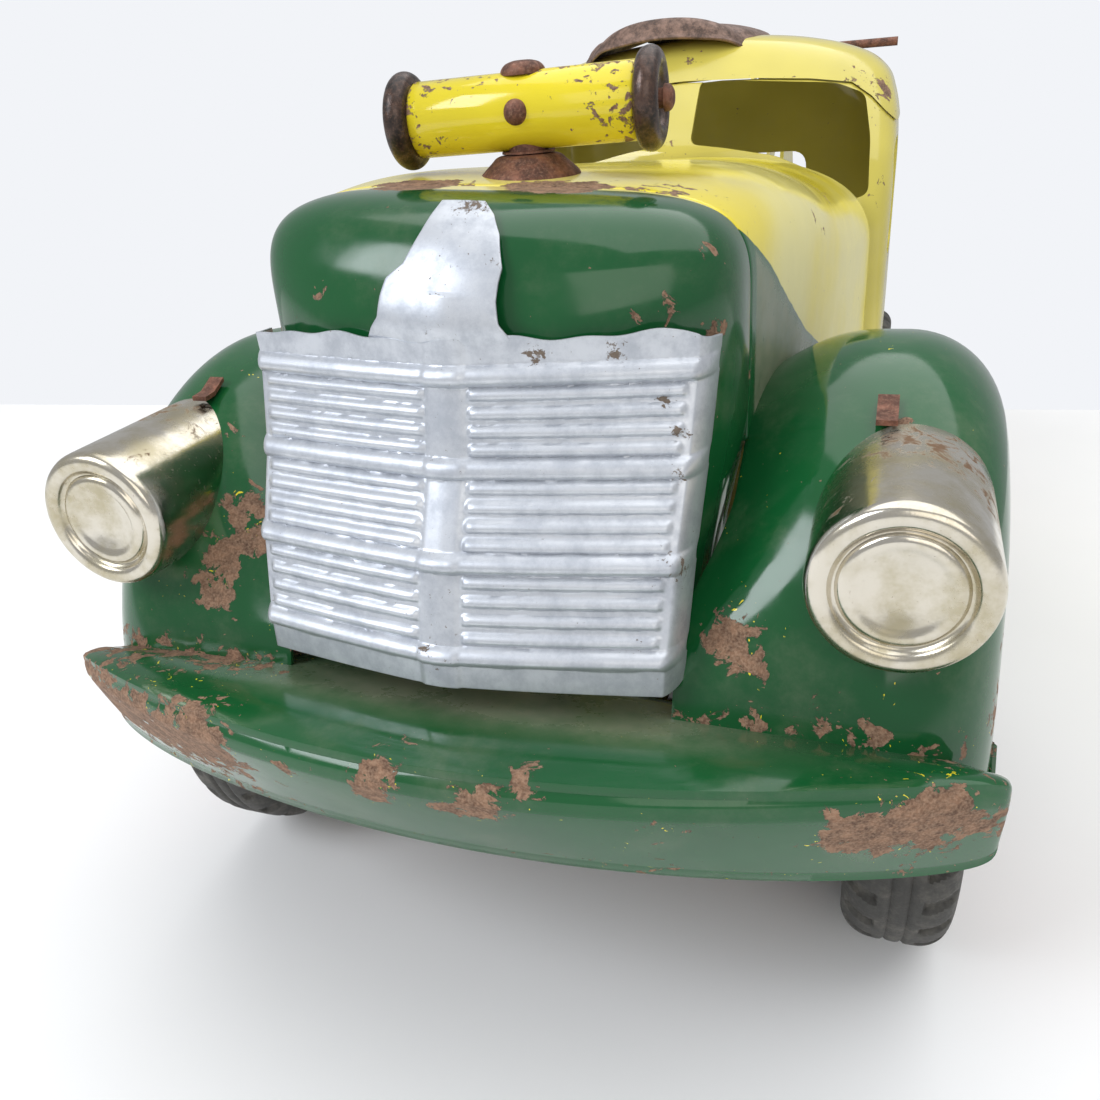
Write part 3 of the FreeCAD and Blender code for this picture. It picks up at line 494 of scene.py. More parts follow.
def make_finishes():
    """Every material of the truck, by the name its pieces use."""
    c = colours()
    green, yellow, glare_cream = list(c.green), list(c.yellow), list(c.glare_cream)
    FINISHES["green"] = enamel("green_stoved_enamel", green, chips=0.72, chip_size=5, dust=0.16, under=yellow)
    # The hood and the top of the nose take the pale cream: painted glare on the yellow enamel.
    FINISHES["two_tone"] = enamel("yellow_and_green_stoved_enamel", glare_cream, second=green, chips=0.725,
                                  chip_size=5, dim=yellow, dust=0.12)
    FINISHES["nose"] = enamel("green_and_yellow_stoved_enamel", green, second=glare_cream, chips=0.74,
                              chip_size=5, dust=0.12)
    FINISHES["tube"] = enamel("bright_yellow_stoved_enamel", yellow, chips=0.75, chip_size=3.5, dust=0.08)
    # The cab's yellow: a darker mix of the bright yellow and the pale painted-glare cream.
    shade = [0.42 * (a + b) for a, b in zip(yellow, glare_cream)]
    FINISHES["yellow"] = enamel("yellow_stoved_enamel", shade, chips=0.73, chip_size=4, dust=0.12)
    # Inner faces of the hood, cab and roof: the yellow enamel darkened to olive as painted shade.
    FINISHES["inside"] = enamel("yellow_enamel_in_painted_shade", linear("#8f7712"), chips=0.72, dim=linear("#5f4d0e"),
                                dust=0.2)
    FINISHES["dark"] = enamel("black_dipped_paint", linear("#2b2925"), chips=0.66, dust=0.45)
    FINISHES["red"] = enamel("red_stoved_enamel", linear("#8d2a20"), chips=0.68, dust=0.3)
    FINISHES["silver"] = silver_paint("aluminium_paint")
    FINISHES["nickel"] = nickel_plate("aged_nickel_plate")
    FINISHES["seat"] = worn_steel("rubbed_rusty_steel", "#8b6f61", "#4a3a33", 0.42, 0.3, 0.4)
    FINISHES["disc"] = worn_steel("handled_black_steel", "#544037", "#1c1715", 0.2, 0.6, 0.25)
    FINISHES["steel"] = worn_steel("rusted_mild_steel", "#8a5a45", "#4e3228", 0.5, 0.4)
    FINISHES["rubber"] = tyre_rubber("moulded_tyre_rubber")


def dress(thing, finish, body, nodes=(), inner=None):
    """Finish a piece, let it ride on its body, and say which CAD nodes it stands for."""
    thing.data.materials.clear()
    thing.data.materials.append(FINISHES[finish])
    if inner:
        thing.data.materials.append(FINISHES[inner])
    if "wear" not in thing.data.attributes:
        mark(thing, "wear", lambda p: np.zeros(len(p)))
    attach(thing, body)
    if nodes:
        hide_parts(*nodes)
    return thing


# ---- Front body -------------------------------------------------------------


def arch(half, foot, shoulder, top, count=161, power=2.6):
    """Section across the truck, left foot to right foot: straight sides, then the superellipse
    |x/half|^p + |(z - shoulder)/(top - shoulder)|^p = 1."""
    s = np.linspace(-1, 1, count)
    turn = (1 - np.clip(np.abs(s) / 0.74, 0, 1)) * math.pi / 2
    across = half * np.sign(s) * np.cos(turn) ** (2 / power)
    upper = shoulder + (top - shoulder) * np.sin(turn) ** (2 / power)
    return across, upper - (shoulder - foot) * np.clip((np.abs(s) - 0.74) / 0.26, 0, 1)


def lean(points):
    """The nose stands a little higher on the right: z falls with x, fading out towards the cowl."""
    drop = sizes().twist / MM / 110
    fade = 1 - smooth_step(points[..., 1], -190, -110)
    out = points.copy()
    out[..., 2] -= drop * points[..., 0] * fade * smooth_step(points[..., 2], 120, 190)
    return out


def hood_at(along):
    """Half width, shoulder, top and squareness of the hood at a place along Y: it widens and falls from nose
    to cowl, crowned a little behind the nose, and its corners grow round."""
    front, rear = HOOD[0][1], HOOD[1][1]
    t = np.clip((along - front) / (rear - front), 0, 1)
    half_front = NOSE[1][0]
    half = half_front + (HOOD[1][0] - half_front) * t
    top = HOOD[1][2] + 20 * t * (1 - t) ** 3 - 8 * t ** 1.3
    return half, 184 - 18 * t, top, 4.4 - 1.8 * smooth_step(t, 0.05, 0.8)


def build_hood():
    """Hood: the arch section carried back from the nose seam, wider and lower as it goes."""
    along = np.linspace(HOOD[0][1] + 0.6, HOOD[1][1], 90)[:, None]
    half, shoulder, top, power = hood_at(along)
    across, height = arch(half, 106, shoulder, top, power=power)
    grid = lean(stack(across, along, height))
    hood = surface("hood_panel", grid)
    mark(hood, "trim", sweep_distance)
    mark(hood, "dust", lambda p: 0.9 * smooth_step(sweep_distance(p), 0, 3) * (p[:, 1] > -200))
    mark(hood, "wear", lambda p: blots(p, [
        (-26, -204, 212, 5, 2.0), (-19, -204, 212, 5, 2.0), (10, -204, 212, 5, 2.0), (18, -204, 212, 6, 2.0),
        (40, -196, 206, 7, 0.6), (66, -120, 190, 10, 0.35), (60, -80, 196, 12, 0.3), (-50, -150, 205, 12, 0.3),
        (30, -60, 205, 9, 0.4)]) + edge_wear(p, -205, 6, 0.3))
    gauge_up(hood, sizes().gauge / MM, inner=True)
    return dress(hood, "two_tone", "chassis", ["hood"], inner="inside")


def edge_wear(points, along, reach, strength):
    """Wear near a line across the truck."""
    return strength * np.exp(-((points[:, 1] - along) / reach) ** 2)


def sweep_distance(points):
    """Green paint: over zero at the nose and under the line that falls from the seam along the hood sides."""
    y, z = points[:, 1], points[:, 2]
    line = np.interp(y, [-205, -198, -185, -165, -140, -100, -60, -20],
                     [201, 196, 189, 177, 163, 146, 136, 130])
    return np.clip((line - z) * 0.8, -5, 5)


def build_nose():
    """Nose: the square arch section shrunk about its middle while it moves forward along a superellipse. Its
    front is a shallow V, and its sides draw in towards the foot."""
    seam = HOOD[0][1] + 0.4
    half, shoulder, top, power = hood_at(HOOD[0][1])
    share = np.sin(np.linspace(0, 1, 80) * math.pi / 2)[:, None]
    scale = (1 - share ** 3.6) ** (1 / 3.6)
    across, height = arch(np.array([[half]]), 112, shoulder, top, power=power)
    middle = 160
    across = across * scale
    height = middle + (height - middle) * scale
    deep = (HOOD[0][1] - NOSE[0][1]) - 8 * (np.abs(across) / 52) ** 1.25
    across = across * (1 - 0.11 * smooth_step(165 - height, 0, 50))
    nose = surface("nose_dome", lean(stack(across, seam - share * deep, height)), flip=True)
    mark(nose, "trim", lambda p: p[:, 1] + seam_paint(p[:, 0]) - 60 * (p[:, 2] < 195))
    mark(nose, "wear", lambda p: blots(p, [
        (-26, -208, 212, 5, 2.0), (-19, -208, 212, 5, 2.0), (10, -208, 211, 5, 2.0), (18, -208, 211, 6, 2.0),
        (-34, -235, 196, 5, 0.4), (44, -232, 190, 5, 0.5),
        (52, -222, 200, 5, 0.35), (-54, -226, 184, 5, 0.9), (54, -226, 182, 5, 0.8), (18, -243, 186, 4, 0.5),
        (40, -238, 186, 4, 0.5)]))
    gauge_up(nose, sizes().gauge / MM, inner=True)
    return dress(nose, "nose", "chassis", ["nose_shell"], inner="dark")


def seam_paint(across):
    """How far ahead of the zero plane the yellow paint comes over the nose, from right to left."""
    return np.interp(across, [-60, -40, -23, 3, 25, 45, 60], [206, 210, 211.5, 212.5, 208, 206, 203])


GRILLE_CENTRE = [(-246.3, 187), (-246.5, 179), (-251, 159), (-260, 141), (-266, 120), (-267, 112)]
GRILLE_EDGE = [(-236.6, 187), (-236.8, 179), (-243, 159), (-252, 141), (-258, 120), (-259, 112)]
BEADS = [178, 159, 140.5, 120.5]


def rib_height(z, across, half):
    """Relief of the face: round-topped beads right across, and thin ribs that stop short of the middle."""
    relief = np.zeros(np.broadcast(z, across).shape)
    for bead in BEADS:
        relief = np.maximum(relief, sizes().bead / MM * np.clip(1 - ((z - bead) / 2.2) ** 2, 0, 1) ** 0.7)
    clear = smooth_step(np.abs(across), 4.6, 6.4) * (1 - smooth_step(np.abs(across), half - 2.6, half - 1.0))
    for high, low in zip(BEADS, BEADS[1:]):
        for k in range(1, 5):
            middle = high + (low - high) * k / 5.0
            thin = np.clip(1 - ((z - middle) / 1.35) ** 2, 0, 1) ** 0.7
            relief = np.maximum(relief, clear * sizes().rib / MM * thin)
    ends = 1 - smooth_step(np.abs(across), half - 0.6, half + 1.4)
    return relief * ends


def build_grille():
    """Grille: V face leaning back as it rises, its sides folded round the nose, ribs pushed out of it."""
    rows = np.linspace(0, 1, 210)[:, None]
    outer = np.concatenate([np.linspace(0, 4.4, 6)[:-1], np.linspace(4.4, 6.6, 5)[:-1],
                            np.linspace(6.6, 48, 34)])
    shares = np.concatenate([outer / 52.7, np.linspace(0.925, 1.0, 8), 1 + np.linspace(0.012, 0.2, 12)])
    shares = np.concatenate([-shares[:0:-1], shares])[None, :]
    face = np.clip(np.abs(shares), 0, 1)
    fold = np.clip(np.abs(shares) - 1, 0, 1) / 0.2
    signs = np.sign(shares)
    top = (185.6 + 0.5 * np.sin(shares * 9.0) + 0.35 * np.sin(shares * 23.0 + 1)
           - 2.2 * smooth_step(np.abs(shares), 0.93, 1.12))
    foot = 113 - 0.8 * face
    z = foot + (top - foot) * rows
    half = 48.6 + (z - 113) / 73 * 4.1
    centre = np.interp(z, [p[1] for p in reversed(GRILLE_CENTRE)], [p[0] for p in reversed(GRILLE_CENTRE)])
    edge = np.interp(z, [p[1] for p in reversed(GRILLE_EDGE)], [p[0] for p in reversed(GRILLE_EDGE)])
    across = half * face
    y = centre + (edge - centre) * face ** 1.25 - 0.5 * (1 - smooth_step(across, 3.8, 5.2))
    y = y - rib_height(z, across, half) * (face <= 1)
    bend = np.sin(fold * math.pi / 2)
    across = across + 3.0 * bend
    y = y + 9.5 * fold ** 1.3
    grid = stack(signs * across, y, z)
    panel = surface("grille_panel", grid)
    mark(panel, "wear", lambda p: blots(p, [
        (20, -243, 182, 2.5, 0.9), (36, -240, 182, 3, 0.9), (46, -239, 172, 2.5, 0.7), (50, -243, 166, 3, 0.7),
        (-3, -257, 160, 3, 0.6),
        (-3, -266, 120, 3, 0.7), (-30, -240, 177, 3, 0.5), (49, -250, 140, 5, 0.6), (44, -256, 122, 4, 0.6),
        (50, -244, 158, 3, 0.7), (-49, -246, 150, 3, 0.5), (-49, -256, 125, 3, 0.5)])
        + 0.45 * smooth_step(p[:, 2], 184.6, 187) + 0.2 * np.exp(-(p[:, 0] / 4) ** 2))
    gauge_up(panel, 0.7, edge=0.2)
    dress(panel, "silver", "chassis", ["grille"])
    return build_tongue()


def build_tongue():
    """Tongue over the nose: it follows the nose's middle line, with its own left and right outline."""
    lift = sizes().tongue_gap / MM
    line = spline([(-244.6, 181), (-246.0, 187), (-243.6, 195), (-239.4, 201.6), (-233.8, 207),
                   (-228.2, 210.6)], 70)
    height, front = line[:, 1:2], line[:, :1] - lift * 0.6
    steps = [181, 186, 188.5, 193, 196.6, 199.5, 205.4, 208.5, 210.6]
    left = np.interp(height, steps, [-21, -17.6, -15.4, -14.6, -13.4, -9.4, -6.6, -5.4, -4.4])
    right = np.interp(height, steps, [17.5, 14.6, 12.8, 12.2, 12.4, 12.8, 10.9, 8.6, 5.6])
    share = np.linspace(0, 1, 41)[None, :]
    across = left + (right - left) * share
    middle = np.abs(across) / 14
    y = front + 0.0085 * across ** 2 - 0.6 * np.exp(-(across / 4.5) ** 2) * (height < 194)
    z = height + lift - 0.9 * middle ** 2 * smooth_step(height, 190, 206)
    grid = lean(stack(across, y, z))
    tongue = surface("grille_tongue", grid)
    mark(tongue, "wear", lambda p: 0.3 * np.exp(-(p[:, 0] / 5) ** 2)
         + blots(p, [(5, -229, 210, 4, 0.7), (11, -240, 200, 3, 0.5)]))
    gauge_up(tongue, 0.7, edge=0.2)
    return dress(tongue, "silver", "chassis", ["grille"])


def build_bumper():
    """Bumper: a shelf, a round ridge and a face that falls back, bowed in plan. Near each tip the section
    shrinks towards its middle by (1 - |x/half|^p)^(1/p), with p 7 along Y and 6 in height: blunt ends."""
    half = BUMPER[1][0]
    across = half * np.sin(np.linspace(-1, 1, 221) * math.pi / 2)[None, :]
    close = (1 - np.abs(across / half) ** 7) ** (1 / 7)
    blunt = (1 - np.abs(across / half) ** 6) ** (1 / 6)
    across = across + 8 * smooth_step(-across, 70, half)
    line = spline([(0.0, 101), (0.35, 104.6), (0.66, 107.4), (0.86, 108.2), (0.97, 105.6), (1.0, 101.5),
                   (1.06, 90), (1.14, 77.5)], 52)
    share, height = line[:, :1], line[:, 1:2]
    ridge = BUMPER[0][1] + 0.0019 * across ** 2
    shelf = -243 - 9 * (across / half) ** 2
    lower = -276 + 0.0015 * across ** 2
    y = shelf + (ridge - shelf) * np.clip(share, 0, 1)
    fall = np.clip((101.5 - height) / (101.5 - 75.5), 0, 1) * (share >= 1.0)
    y = y + (lower - ridge) * fall ** 1.1
    lip = np.array([[0.0, 75.0], [1.6, 73.6], [3.6, 73.8]])
    z = np.broadcast_to(height, y.shape)
    y = np.vstack([y, lower[0] + lip[:, :1] - 0.6])
    z = np.vstack([z, np.broadcast_to(lip[:, 1:], (3, z.shape[1]))])
    middle = shelf + 0.3 * (ridge - shelf)
    y = middle + (y - middle) * (0.12 + 0.88 * close)
    z = 93 + (z - 93) * (0.3 + 0.7 * blunt)
    bumper = surface("bumper_bar", stack(across, y, z), flip=True)
    mark(bumper, "wear", bumper_wear)
    # Grey film on the top shelf: partly settled dust, partly a painted reflection of the overhead light.
    mark(bumper, "dust", lambda p: 0.75 * smooth_step(p[:, 2], 100, 103) * smooth_step(p[:, 1], -276, -262)
         * np.exp(-((p[:, 0] - 6) / 62) ** 4))
    gauge_up(bumper, sizes().gauge / MM, edge=0.4)
    return dress(bumper, "green", "chassis", ["front_bumper"])


def bumper_wear(points):
    """Paint lost off the front face near both ends, in patches along the ridge, and off the lower lip."""
    x, z = points[:, 0], points[:, 2]
    right = smooth_step(-x, 30, 70) * np.exp(-((z - 94) / 14) ** 4)
    left = smooth_step(x, 72, 100) * np.exp(-((z - 94) / 10) ** 2)
    lip = np.exp(-((z - 77) / 3.5) ** 2)
    spots = blots(points, [
        (-5, -288, 105, 5, 0.9), (-10, -288, 98, 6, 0.8), (17, -289, 100, 6, 0.9), (8, -289, 97, 5, 0.6),
        (26, -286, 106, 5, 0.6), (53, -281, 99, 6, 0.5), (89, -273, 96, 8, 0.8), (104, -269, 100, 8, 0.8),
        (49, -281, 84, 7, 0.5), (-55, -284, 100, 9, 0.5), (-30, -286, 100, 6, 0.5)])
    return 0.85 * right + 0.6 * left + 0.25 * lip + spots


def fender_edge(turn, base, wheel, radius):
    """Distance from the fender's own axis to the wheel arch, along each direction."""
    away = base - wheel
    b = away[0] * np.cos(turn) + away[1] * np.sin(turn)
    return -b + np.sqrt(b ** 2 - (away @ away - radius ** 2))


def build_fender(name, side):
    """Fender: a rounded section carried round an axis across the truck. The section starts at the hood's
    side, rises over the crown, and its outer skirt drops to an arch round the wheel."""
    base = np.array([-176.0, 78.0])
    wheel = np.array([TYRE[:, 1].mean(), TYRE[:, 2].mean()])
    outer = 117.0
    reach_line = spline([(178, 83), (165, 83), (152, 84), (125, 90), (97, 92.5), (70, 91), (42, 92), (18, 100),
                         (-5, 108)], 121)
    turn = np.radians(reach_line[:, :1])
    reach = reach_line[:, 1:]
    skirt = fender_edge(turn[:, 0], base, wheel, 62.0)[:, None]
    s = np.linspace(0, 1, 81)[None, :]
    crown = np.clip(s / 0.62, 0, 1)
    drop = np.clip((s - 0.62) / 0.38, 0, 1)
    dip = np.interp(reach_line[:, :1], [0, 39, 70, 113, 135, 149, 156, 180], [1, 2, 8, 13, 11, 4, 0.5, 0])
    radial_crown = reach - dip * (1 - np.sin(np.clip(crown * 1.9, 0, 1) * math.pi / 2)) ** 1.25
    round_turn = np.clip(crown - 0.62, 0, 1) / 0.38 * math.pi / 2
    flat_end = outer - 24
    inner = hood_at(base[0] + reach * np.cos(turn))[0] - 2.0
    inner = np.where(base[0] + reach * np.cos(turn) < HOOD[0][1], NOSE[1][0] - 0.5, inner)
    inner = inner - 8 * smooth_step(reach_line[:, :1], 122, 150)
    across = np.where(crown < 0.62, inner + (flat_end - inner) * crown / 0.62,
                      flat_end + 24 * np.sin(round_turn))
    radial = radial_crown - 24 * (1 - np.cos(round_turn)) * (crown >= 0.62)
    radial = radial + (skirt - (reach - 24)) * drop
    y = base[0] + radial * np.cos(turn)
    z = base[1] + radial * np.sin(turn)
    grid = stack(side * across, y, z)
    fender = surface("fender_" + name, grid, flip=side < 0)
    mark(fender, "wear", lambda p: fender_wear(p * (side, 1, 1), side))
    gauge_up(fender, sizes().gauge / MM, edge=0.4, inner=True)
    return dress(fender, "green", "chassis", ["front_fender_" + name], inner="dark")


def fender_wear(points, side):
    """Chips where the fender meets the nose, the lamp and the bumper, and along its skirt."""
    if side > 0:
        spots = [(58, -249, 130, 7, 1.0), (60, -246, 122, 6, 0.7), (84, -255, 112, 5, 0.5),
                 (66, -250, 116, 6, 0.6), (93, -214, 161, 5, 0.7)]
    else:
        spots = [(72, -241, 126, 8, 1.0), (70, -231, 138, 7, 0.9), (73, -245, 116, 8, 0.8),
                 (64, -236, 130, 6, 0.7), (80, -222, 152, 5, 0.6)]
    low = 0.5 * np.exp(-((points[:, 2] - 104) / 4) ** 2) * (points[:, 1] < -235)
    rim = 0.35 * smooth_step(points[:, 0], 114, 117) * (points[:, 1] < -150)
    return blots(points, spots) + low + rim


# ---- Headlamps and handle ---------------------------------------------------


def build_lamp(name, side):
    """Headlamp: a drawn cup with a rounded rim, a flat ring, a pressed groove and a dished middle."""
    centre = (side * LAMP[:, 0].mean(), LAMP[0][1] - 0.1, LAMP[:, 2].mean())
    front = spline([(0, 2.6), (4, 2.3), (8, 1.5), (10.6, 0.9), (11.6, 1.3), (12.2, 2.0), (12.9, 1.6),
                    (13.6, 0.7), (14.8, 0.25), (16.2, 0.3), (17.3, 0.9), (17.9, 2.1), (18.1, 4.0)], 70)
    back = [(18.15, 8), (18.3, 20), (18.45, 32), (18.6, 44), (17.6, 44), (17.2, 5), (12, 4.2), (0, 4.2)]
    lamp = turned("headlamp_cup_" + name, centre, "y", np.vstack([front, back]), steps=128)
    mark(lamp, "wear", lambda p: 0.5 * smooth_step(p[:, 1], -245, -222) + blots(p, [
        (side * 110, -240, 150, 8, 0.7), (side * 84, -250, 155, 7, 0.5), (side * 100, -230, 158, 8, 0.6)]))
    return dress(lamp, "nickel", "chassis", ["headlamp_" + name])


def swing(grid):
    """The handle stands turned a little about its post, and its tube is not quite level."""
    pivot_y, height = TUBE[:, 1].mean(), TUBE[:, 2].mean()
    turn = math.radians(3.4)
    out = grid.copy()
    x, y = grid[..., 0], grid[..., 1] - pivot_y
    out[..., 0] = x * math.cos(turn) - y * math.sin(turn)
    out[..., 1] = x * math.sin(turn) + y * math.cos(turn) + pivot_y
    out[..., 2] = grid[..., 2] + x * math.tan(math.radians(0.9)) * (grid[..., 2] > height - 14)
    return out


def swung(thing):
    """Apply the handle's set to a piece."""
    mesh = thing.data
    spots = np.empty(len(mesh.vertices) * 3)
    mesh.vertices.foreach_get("co", spots)
    mesh.vertices.foreach_set("co", (swing(spots.reshape(-1, 3) / MM) * MM).ravel())
    mesh.update()
    return thing


def build_handle():
    """Handle: yellow tube with rolled ends, a worn disc on each end, the rod through them and its fixings."""
    y, z = TUBE[:, 1].mean(), TUBE[:, 2].mean()
    half, radius = TUBE[1][0], 8.8
    tube = turned("handle_grip", (0, y, z), "x", [
        (radius - 1.2, -half), (radius - 0.4, -half), (radius, -half + 0.5), (radius, 0), (radius, half - 0.5),
        (radius - 0.4, half), (radius - 1.2, half), (radius - 1.2, 0)], steps=96)
    mark(tube, "wear", lambda p: 0.45 * smooth_step(np.abs(p[:, 0]), half - 5, half) + blots(p, [
        (0, y, z + 9, 7, 0.5), (-16, y - 4, z + 8, 5, 0.3), (18, y - 8, z + 2, 5, 0.3),
        (22, y - 8, z - 3, 5, 0.5)]))
    dress(swung(tube), "tube", "steering", ["handle_tube"])
    for name, side in (("left", 1), ("right", -1)):
        rim = spline([(3.2, -1.6), (5.2, -1.8), (6.6, -2.8), (8.6, -3.0), (10.4, -2.3), (11.3, -0.9),
                      (11.3, 0.9), (10.4, 2.3), (8.6, 3.0), (6.8, 2.7), (5.4, 1.2), (3.2, 0.8)], 64)
        disc = turned("handle_end_" + name, (side * (half + 3), y, z), "x", rim * (1, side), steps=96)
        dress(swung(disc), "disc", "steering", ["handle_disc_" + name])
    reach = mm_box("handle_rod")[1][0]
    ends = spline([(0, -reach - 0.6), (1.6, -reach - 0.4), (2.9, -reach + 0.6), (3.0, -reach + 1.8)], 10)
    rod = turned("handle_spindle", (0, y, z), "x", np.vstack([ends, [(2.2, -reach + 2), (2.2, reach - 2)],
                                                                 (ends * (1, -1))[::-1]]), steps=40)
    dress(swung(rod), "steel", "steering", ["handle_rod"])
    dome = spline([(0, 2.3), (2.6, 2.1), (4.4, 1.4), (5.4, 0.1), (5.4, -0.9)], 24)
    shank = [(3, -1.2), (3, -6), (0, -6)]
    bolt = turned("handle_bolt", (0, y, z + radius), "z", np.vstack([dome, shank]), steps=48)
    dress(swung(bolt), "steel", "steering", ["handle_fasteners"])
    rivet = turned("handle_rivet_head", (0, y - radius, z), "y", [
        (0, -1.8), (1.2, -1.6), (2.2, -1.1), (2.9, 0.1), (2.9, 0.9), (1.4, 1), (1.4, 2), (0, 2)], steps=40)
    dress(swung(rivet), "steel", "steering", ["handle_fasteners"])


def build_boss():
    """Dished bearing cup on the hood under the handle, where the steering post comes out."""
    low = mm_box("hood_boss")
    foot = low[1][2] - 5.6
    cup = spline([(12.9, 0.0), (12.6, 0.9), (11.2, 2.4), (9.4, 4.0), (8.2, 5.1), (6.6, 5.6), (5.1, 5.6)], 30)
    collar = [(5.1, -2.4), (6.4, -2.4), (6.4, -0.2)]
    boss = turned("steering_cup", (0, TUBE[:, 1].mean(), foot), "z", np.vstack([cup, collar]), 64)
    dress(boss, "steel", "chassis", ["hood_boss"])


# ---- Cab --------------------------------------------------------------------

CAB_LEVELS = [
    # height, half width, front at the middle, front at the side, rear, corner power
    (68, 84, -22, -18, 100, 9), (95, 84.6, -22, -18, 100, 9), (120, 85, -22, -18, 100, 9),
    (160, 85, -22, -16.5, 100, 9), (183, 85, -22, -15, 100, 9), (196, 85, -21.4, -9, 100, 8.5),
    (206, 84.6, -20, -1, 100, 8), (214, 83.6, -12, 5, 99.8, 7), (222, 81.6, -4, 12, 99.2, 6),
    (229, 78.6, 4, 17, 98.4, 5), (235, 72, 10, 21, 97, 4), (240, 60, 14.5, 24.5, 93.5, 3.4),
    (243.6, 45, 18.5, 28, 88, 3), (246, 27, 26, 33, 78, 2.6), (247.2, 8, 42, 44, 62, 2.2),
]


def cab_grid(grow=0.0, low=68.0):
    """Cab form: at each height a superellipse ring |x/half|^p + |t|^p = 1, whose front is a shallow V."""
    levels = spline(CAB_LEVELS, 110)
    levels = levels[levels[:, 0] >= low - 0.5]
    z, half, middle, side, rear, power = (levels[:, k:k + 1] for k in range(6))
    turn = np.linspace(0, 2 * math.pi, 220, endpoint=False)[None, :]
    x = (half + grow) * np.sign(np.cos(turn)) * np.abs(np.cos(turn)) ** (2 / power)
    t = np.sign(np.sin(turn)) * np.abs(np.sin(turn)) ** (2 / power)
    front = middle + (side - middle) * np.abs(x / (half + grow)) ** 1.4 - grow
    y = (front + rear + grow) / 2 + t * (rear + grow - front) / 2
    rise = grow * smooth_step(z, 215, 240)
    return stack(x, y, z + rise)


def cab_shell(name, grow):
    """The cab form as a closed sheet, open at its foot."""
    grid = cab_grid(grow)
    crown = grid[-1].mean(axis=0) + (0, 0, 0.25)
    shell = surface(name, grid, ring=True, tips=(None, crown))
    return settle(gauge_up(shell, sizes().gauge / MM, edge=0, inner=True))


SEAM = [(-130, 211), (-84, 211), (-79.5, 215), (-74, 220.5), (-66, 226), (-50, 228.4), (-30, 230), (0, 231)]
SCREEN = [(6.5, 208), (20, 206), (40, 202), (58, 194), (68, 184), (76, 186), (75, 206), (71.5, 221.5),
          (60, 226.2), (30, 229.0), (6.5, 230.8)]
SIDE_WINDOW = [(-1, 161), (46, 161), (47, 204), (16, 204.5), (6, 199)]


def seam_tool(name, shift):
    """Closed prism over the roof seam, moved up or down."""
    line = SEAM + [(-x, z) for x, z in reversed(SEAM[:-1])] + [(130, 300), (-130, 300)]
    return prism(name, [(x, z + shift) for x, z in line], "y", -100, 180)


def window_tools():
    """Prisms through both screens, both side windows and the rear window."""
    tools = []
    for side in (-1, 1):
        tools.append(prism("screen", soften(SCREEN, 3.2) * (side, 1), "y", -70, 55))
        tools.append(prism("door_light", soften(SIDE_WINDOW), "x", side * 60, side * 110))
    rear = [(-42, 164), (42, 164), (42, 196), (-42, 196)]
    tools.append(prism("rear_light", soften(rear, 8), "y", 85, 120))
    return tools


def build_cab():
    """Cab: body below the seam, and a roof that stands proud of it over the screens."""
    circle = np.linspace(0, 2 * math.pi, 64, endpoint=False)
    body = cab_shell("cab_shell", 0.0)
    along, up = REAR_TYRE[:, 1].mean(), REAR_TYRE[:, 2].mean()
    wheel = np.stack([along + 59 * np.cos(circle), up + 59 * np.sin(circle)], 1)
    across, height = arch(HOOD[1][0] - 1.3, 60, 166, HOOD[1][2] - 8 - 1.3, count=61)
    hood_way = np.stack([across, height], 1)
    frame_way = [(-39, 50), (39, 50), (39, 77), (-39, 77)]
    tools = window_tools() + [seam_tool("over_seam", -0.7), prism("wheel_way", wheel, "x", -120, 120),
                              prism("hood_way", hood_way, "y", -50, -6),
                              prism("frame_way", frame_way, "y", -60, 0)]
    carve(body, tools)
    mark(body, "wear", lambda p: blots(p, [
        (84, -12, 190, 8, 0.6), (85, 10, 160, 8, 0.5), (85, 60, 205, 7, 0.5), (80, 2, 215, 7, 0.6),
        (85, 80, 150, 12, 0.4), (-84, -12, 190, 8, 0.6), (-85, 30, 120, 14, 0.5), (0, -18, 207, 6, 0.4)])
        + 0.4 * np.exp(-((p[:, 2] - 70) / 7) ** 2))
    dress(body, "yellow", "chassis", ["cab_body", "cab_back"], inner="inside")
    roof = cab_shell("cab_roof_pan", sizes().roof_lip / MM)
    carve(roof, [seam_tool("over_seam", 0.0)], keep="INTERSECT")
    mark(roof, "wear", lambda p: blots(p, [
        (2, 14, 240, 6, 0.5), (78, 20, 222, 6, 0.8), (80, 60, 219, 7, 0.5), (70, 18, 230, 6, 0.4),
        (-60, 30, 236, 10, 0.4), (30, 60, 247, 14, 0.4)])
        + 0.25 * np.exp(-((p[:, 2] - seam_height(p[:, 0])) / 2.5) ** 2))
    dress(roof, "yellow", "chassis", ["cab_roof"], inner="inside")


def seam_height(across):
    """Height of the roof seam at a distance from the middle."""
    line = SEAM + [(-x, z) for x, z in reversed(SEAM[:-1])]
    return np.interp(across, [p[0] for p in line], [p[1] for p in line])


